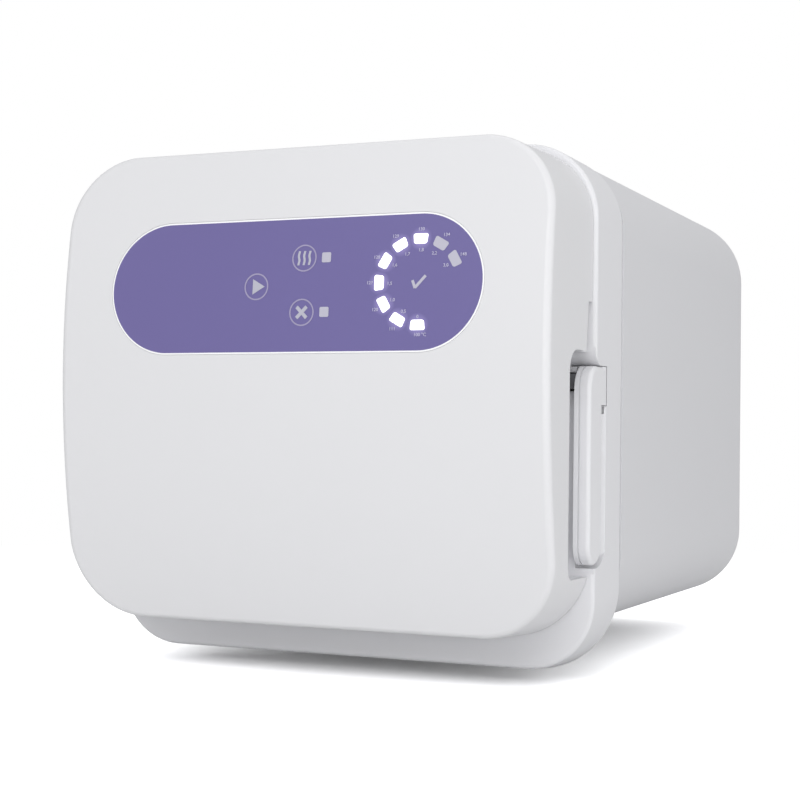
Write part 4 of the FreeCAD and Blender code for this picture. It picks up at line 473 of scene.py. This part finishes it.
nodeFinish = {
    "door_fascia": "doorShell", "control_overlay": "panelFilm", "control_board": "circuitBoard",
    "key_switches": "switchBlack", "status_lamps": "lampClear", "board_screws": "screwSteel",
    "door_liner": "linerShell", "liner_screws": "screwSteel", "door_magnet": "magnetGrey",
    "handle_pocket": "pocketPaintedLight", "door_bridge": "bracketSteel", "striker_pin": "pinSteel",
    "pressure_lid": "lidSteel", "lid_gasket": "gasketSilicone", "lid_stud": "pinSteel",
    "lid_nuts": "screwSteel",
    "handle_shell": "handleShell", "handle_inner": "handleShell", "handle_screws": "screwSteel",
    "latch_lever": "leverPaintedShade", "switch_rocker": "switchBlack", "front_bezel": "bezelShell",
    "front_frame": "bracketSteel", "hinge_pin": "pinSteel", "handle_pivot_pin": "pinSteel",
    "door_sensor": "connectorBlack", "chamber_vessel": "chamberSteel", "chamber_flange": "chamberSteel",
    "band_heater": "heaterFoil", "insulation_jacket": "jacketFelt", "chamber_saddle": "bracketSteel",
    "tray_rack": "rackSteel", "tray_1": "trayAluminium", "tray_2": "trayAluminium", "tray_3": "trayAluminium",
    "cabinet_cover": "cabinetShell", "base_plate": "bracketSteel", "rubber_foot_1": "footRubber",
    "rubber_foot_2": "footRubber", "rubber_foot_3": "footRubber", "rubber_foot_4": "footRubber",
    "foot_screws": "screwSteel", "rear_panel_screws": "screwSteel", "rear_panel": "rearPanelPaint",
    "mains_inlet": "connectorBlack", "inlet_blades": "bladeBrass",
    "power_switch_frame": "connectorBlack", "fuse_holder_1": "connectorBlack",
    "fuse_holder_2": "connectorBlack", "drain_outlet": "valveBrass", "exhaust_pipe": "pipeCopper",
    "solenoid_valve": "coilBlack", "safety_valve": "valveBrass", "pressure_sensor": "sensorSteel",
    "temperature_probe": "sensorSteel", "overheat_cutout": "sensorSteel", "power_board": "circuitBoard",
    "heater_relay": "coilBlack", "power_supply": "coilBlack", "board_bracket": "bracketSteel",
}


def dressNodes():
    for name, node in cadNodes.items():
        node.data.materials.clear()
        node.data.materials.append(finishes[nodeFinish[name]])


# Tools for the printed pieces on the panel
def deselectAll():
    if bpy.context.object and bpy.context.object.mode != "OBJECT":
        bpy.ops.object.mode_set(mode="OBJECT")
    bpy.ops.object.select_all(action="DESELECT")


def bakePlace():
    bpy.ops.object.transform_apply(location=True, rotation=True, scale=True)


def applyModifier(piece, kind, **settings):
    modifier = piece.modifiers.new(kind.title(), kind)
    for key, value in settings.items():
        setattr(modifier, key, value)
    bpy.context.view_layer.objects.active = piece
    bpy.ops.object.modifier_apply(modifier=modifier.name)


printing = {"proud": 0.00012, "thickness": 0.00008, "startY": -0.235, "reach": 0.006}


def printOnPanel(piece, name, finish):
    deselectAll()
    piece.select_set(True)
    bpy.context.view_layer.objects.active = piece
    piece.name = name
    bakePlace()
    applyModifier(piece, "SHRINKWRAP", target=cadNodes["control_overlay"], wrap_method="PROJECT",
                  use_project_x=False, use_project_y=True, use_project_z=False, use_positive_direction=True,
                  use_negative_direction=False, offset=printing["proud"])
    applyModifier(piece, "SOLIDIFY", thickness=printing["thickness"], offset=0)
    if min(vertex.co.y for vertex in piece.data.vertices) < printing["startY"] + printing["reach"]:
        raise RuntimeError(name + " missed the panel")
    piece.data.materials.clear()
    piece.data.materials.append(finishes[finish])
    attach(piece, "door")
    return piece


# A flat plate facing the front, with rounded corners; taper widens its upper edge
def addPlate(x, z, width, height, turn=0.0, corner=0.0, taper=0.0):
    deselectAll()
    bpy.ops.mesh.primitive_plane_add(size=1, location=(0, 0, 0))
    plate = bpy.context.object
    plate.scale = (width, height, 1)
    bakePlace()
    bpy.ops.object.mode_set(mode="EDIT")
    if taper:
        mesh = bmesh.from_edit_mesh(plate.data)
        for vertex in mesh.verts:
            vertex.select_set(vertex.co.y > 0)
        mesh.select_flush_mode()
        bmesh.update_edit_mesh(plate.data)
        bpy.ops.transform.resize(value=(1 + taper, 1, 1))
    if corner:
        bpy.ops.mesh.select_all(action="SELECT")
        bpy.ops.mesh.bevel(affect="VERTICES", offset=corner, segments=4)
    bpy.ops.mesh.select_all(action="SELECT")
    bpy.ops.mesh.subdivide(number_cuts=2)
    bpy.ops.object.mode_set(mode="OBJECT")
    plate.rotation_euler = (math.radians(90), -turn, 0)
    plate.location = (x, printing["startY"], z)
    return plate


def addRing(x, z, radius, line):
    deselectAll()
    bpy.ops.mesh.primitive_circle_add(vertices=64, radius=radius, fill_type="NOTHING")
    ring = bpy.context.object
    bpy.ops.object.mode_set(mode="EDIT")
    bpy.ops.mesh.select_all(action="SELECT")
    bpy.ops.mesh.extrude_edges_move()
    inner = (radius - line) / radius
    bpy.ops.transform.resize(value=(inner, inner, 1))
    bpy.ops.mesh.select_all(action="SELECT")
    bpy.ops.mesh.normals_make_consistent(inside=False)
    bpy.ops.object.mode_set(mode="OBJECT")
    ring.rotation_euler = (math.radians(90), 0, 0)
    ring.location = (x, printing["startY"], z)
    return ring


def joinPlates(plates):
    deselectAll()
    for plate in plates:
        plate.select_set(True)
    bpy.context.view_layer.objects.active = plates[0]
    bakePlace()
    if len(plates) > 1:
        bpy.ops.object.join()
    return plates[0]


symbols = {
    "start": (-0.0201, 0.2092),
    "heat": (0.0073, 0.2235),
    "cancel": (0.0071, 0.1952),
    "ringRadius": 0.0071,
    "ringLine": 0.00075,
    "arrow": {"radius": 0.0047, "shift": 0.0002},
    "cross": {"arm": 0.0041, "stroke": 0.0019, "corner": 0.00015},
    "wave": {"spacing": 0.00305, "stroke": 0.00125, "height": 0.0074, "sway": 0.00022, "bends": 3},
    "lamp": {"x": 0.0201, "size": 0.0052, "corner": 0.0008},
}


def addSymbolRing(symbol):
    ring = addRing(*symbols[symbol], symbols["ringRadius"], symbols["ringLine"])
    printOnPanel(ring, symbol + "Ring", "ringInk")


def addStartSymbol():
    addSymbolRing("start")
    x, z = symbols["start"]
    shape = symbols["arrow"]
    deselectAll()
    bpy.ops.mesh.primitive_circle_add(vertices=3, radius=shape["radius"], fill_type="NGON")
    arrow = bpy.context.object
    arrow.rotation_euler = (math.radians(90), math.radians(90), 0)
    arrow.location = (x + shape["shift"], printing["startY"], z)
    printOnPanel(arrow, "startArrow", "paleInk")


def addCancelSymbol():
    addSymbolRing("cancel")
    x, z = symbols["cancel"]
    quarter = math.radians(45)
    arm, stroke, corner = (symbols["cross"][key] for key in ("arm", "stroke", "corner"))
    reach = (arm + stroke / 2) / 2
    plates = [addPlate(x, z, 2 * arm, stroke, quarter, corner)]
    for side in (-1, 1):
        plates.append(addPlate(x - side * math.sin(quarter) * reach, z + side * math.cos(quarter) * reach,
                               stroke, arm - stroke / 2, quarter, corner))
    printOnPanel(joinPlates(plates), "cancelCross", "paleInk")


def addHeatSymbol():
    addSymbolRing("heat")
    x, z = symbols["heat"]
    shape = symbols["wave"]
    waves = []
    for offset in (-shape["spacing"], 0, shape["spacing"]):
        deselectAll()
        bpy.ops.mesh.primitive_grid_add(x_subdivisions=1, y_subdivisions=24, size=1)
        wave = bpy.context.object
        wave.scale = (shape["stroke"], shape["height"], 1)
        bakePlace()
        for vertex in wave.data.vertices:
            vertex.co.x -= shape["sway"] * math.sin(vertex.co.y / shape["height"] * shape["bends"] * math.pi)
        wave.rotation_euler = (math.radians(90), 0, 0)
        wave.location = (x + offset, printing["startY"], z)
        waves.append(wave)
    printOnPanel(joinPlates(waves), "heatWaves", "paleInk")


def addLampWindows():
    for name, z in (("heatLamp", symbols["heat"][1]), ("cancelLamp", symbols["cancel"][1])):
        lamp = symbols["lamp"]
        plate = addPlate(lamp["x"], z, lamp["size"], lamp["size"], 0, lamp["corner"])
        printOnPanel(plate, name, "dimLamp")


tick = {
    "stroke": 0.0015,
    "corner": 0.0001,
    "arms": [
        {"middle": (-0.00266, -0.00125), "length": 0.0043, "turn": 21.3},
        {"middle": (0.00088, -0.00005), "length": 0.0083, "turn": -42.8},
    ],
}


def addTick():
    arms = []
    for arm in tick["arms"]:
        arms.append(addPlate(panel["dial"][0] + arm["middle"][0], panel["dial"][1] + arm["middle"][1],
                             tick["stroke"], arm["length"], math.radians(arm["turn"]), tick["corner"]))
    printOnPanel(joinPlates(arms), "tick", "dimLamp")


dialMarks = {
    "width": 0.0070,
    "height": 0.0052,
    "corner": 0.0011,
    "taper": 0.18,
    # Each number with its shift in mm to the right and up
    "outer": [("100 °C", 1.5, 0.3), ("111", -0.2, -0.2), ("120", -0.15, -0.2), ("127", 0, 0),
              ("128", -0.3, -0.5), ("129", -0.4, 0), ("130", 0, -0.4), ("134", 0.4, -0.2), ("148", 0, -0.5)],
    "inner": [("0", 0, -1.45), ("0,5", 0.4, -0.85), ("1,0", 0, -0.8), ("1,5", 0.3, -0.6),
              ("1,6", 0.5, 0.55), ("1,7", 1.2, 0), ("1,8", 0.5, -0.25), ("2,2", -0.3, 0), ("3,0", 0.2, -0.3)],
    "outerRadius": 0.0271,
    "innerRadius": 0.0163,
    "textHeight": 0.0024,
    "textBold": 0.00003,
}


def addDial():
    for step in range(panel["steps"]):
        x, z, angle = dialPoint(step, panel["dialRadius"])
        lit = step < panel["litSteps"]
        mark = addPlate(x, z, dialMarks["width"], dialMarks["height"], angle - math.radians(90),
                        dialMarks["corner"], dialMarks["taper"])
        printOnPanel(mark, f"dialMark{step + 1}", "litLamp" if lit else "dimLamp")
        for label in ("outer", "inner"):
            x, z, _ = dialPoint(step, dialMarks[label + "Radius"])
            words, right, up = dialMarks[label][step]
            addNumber(words, x + right / 1000, z + up / 1000, f"{label}Number{step + 1}")


def addNumber(words, x, z, name):
    deselectAll()
    bpy.ops.object.text_add(location=(x, printing["startY"], z), rotation=(math.radians(90), 0, 0))
    number = bpy.context.object
    number.data.body = words
    number.data.size = dialMarks["textHeight"]
    number.data.align_x = "CENTER"
    number.data.align_y = "CENTER"
    number.data.resolution_u = 3
    number.data.offset = dialMarks["textBold"]
    bpy.ops.object.convert(target="MESH")
    printOnPanel(bpy.context.object, name, "numberInk")


addCamera()
addLights()
addRoom()
addFloor()
dressNodes()
print("studio and finishes set")
addStartSymbol()
addHeatSymbol()
addCancelSymbol()
addLampWindows()
addTick()
addDial()
print("panel printed")

bpy.context.scene.view_settings.view_transform = "Standard"
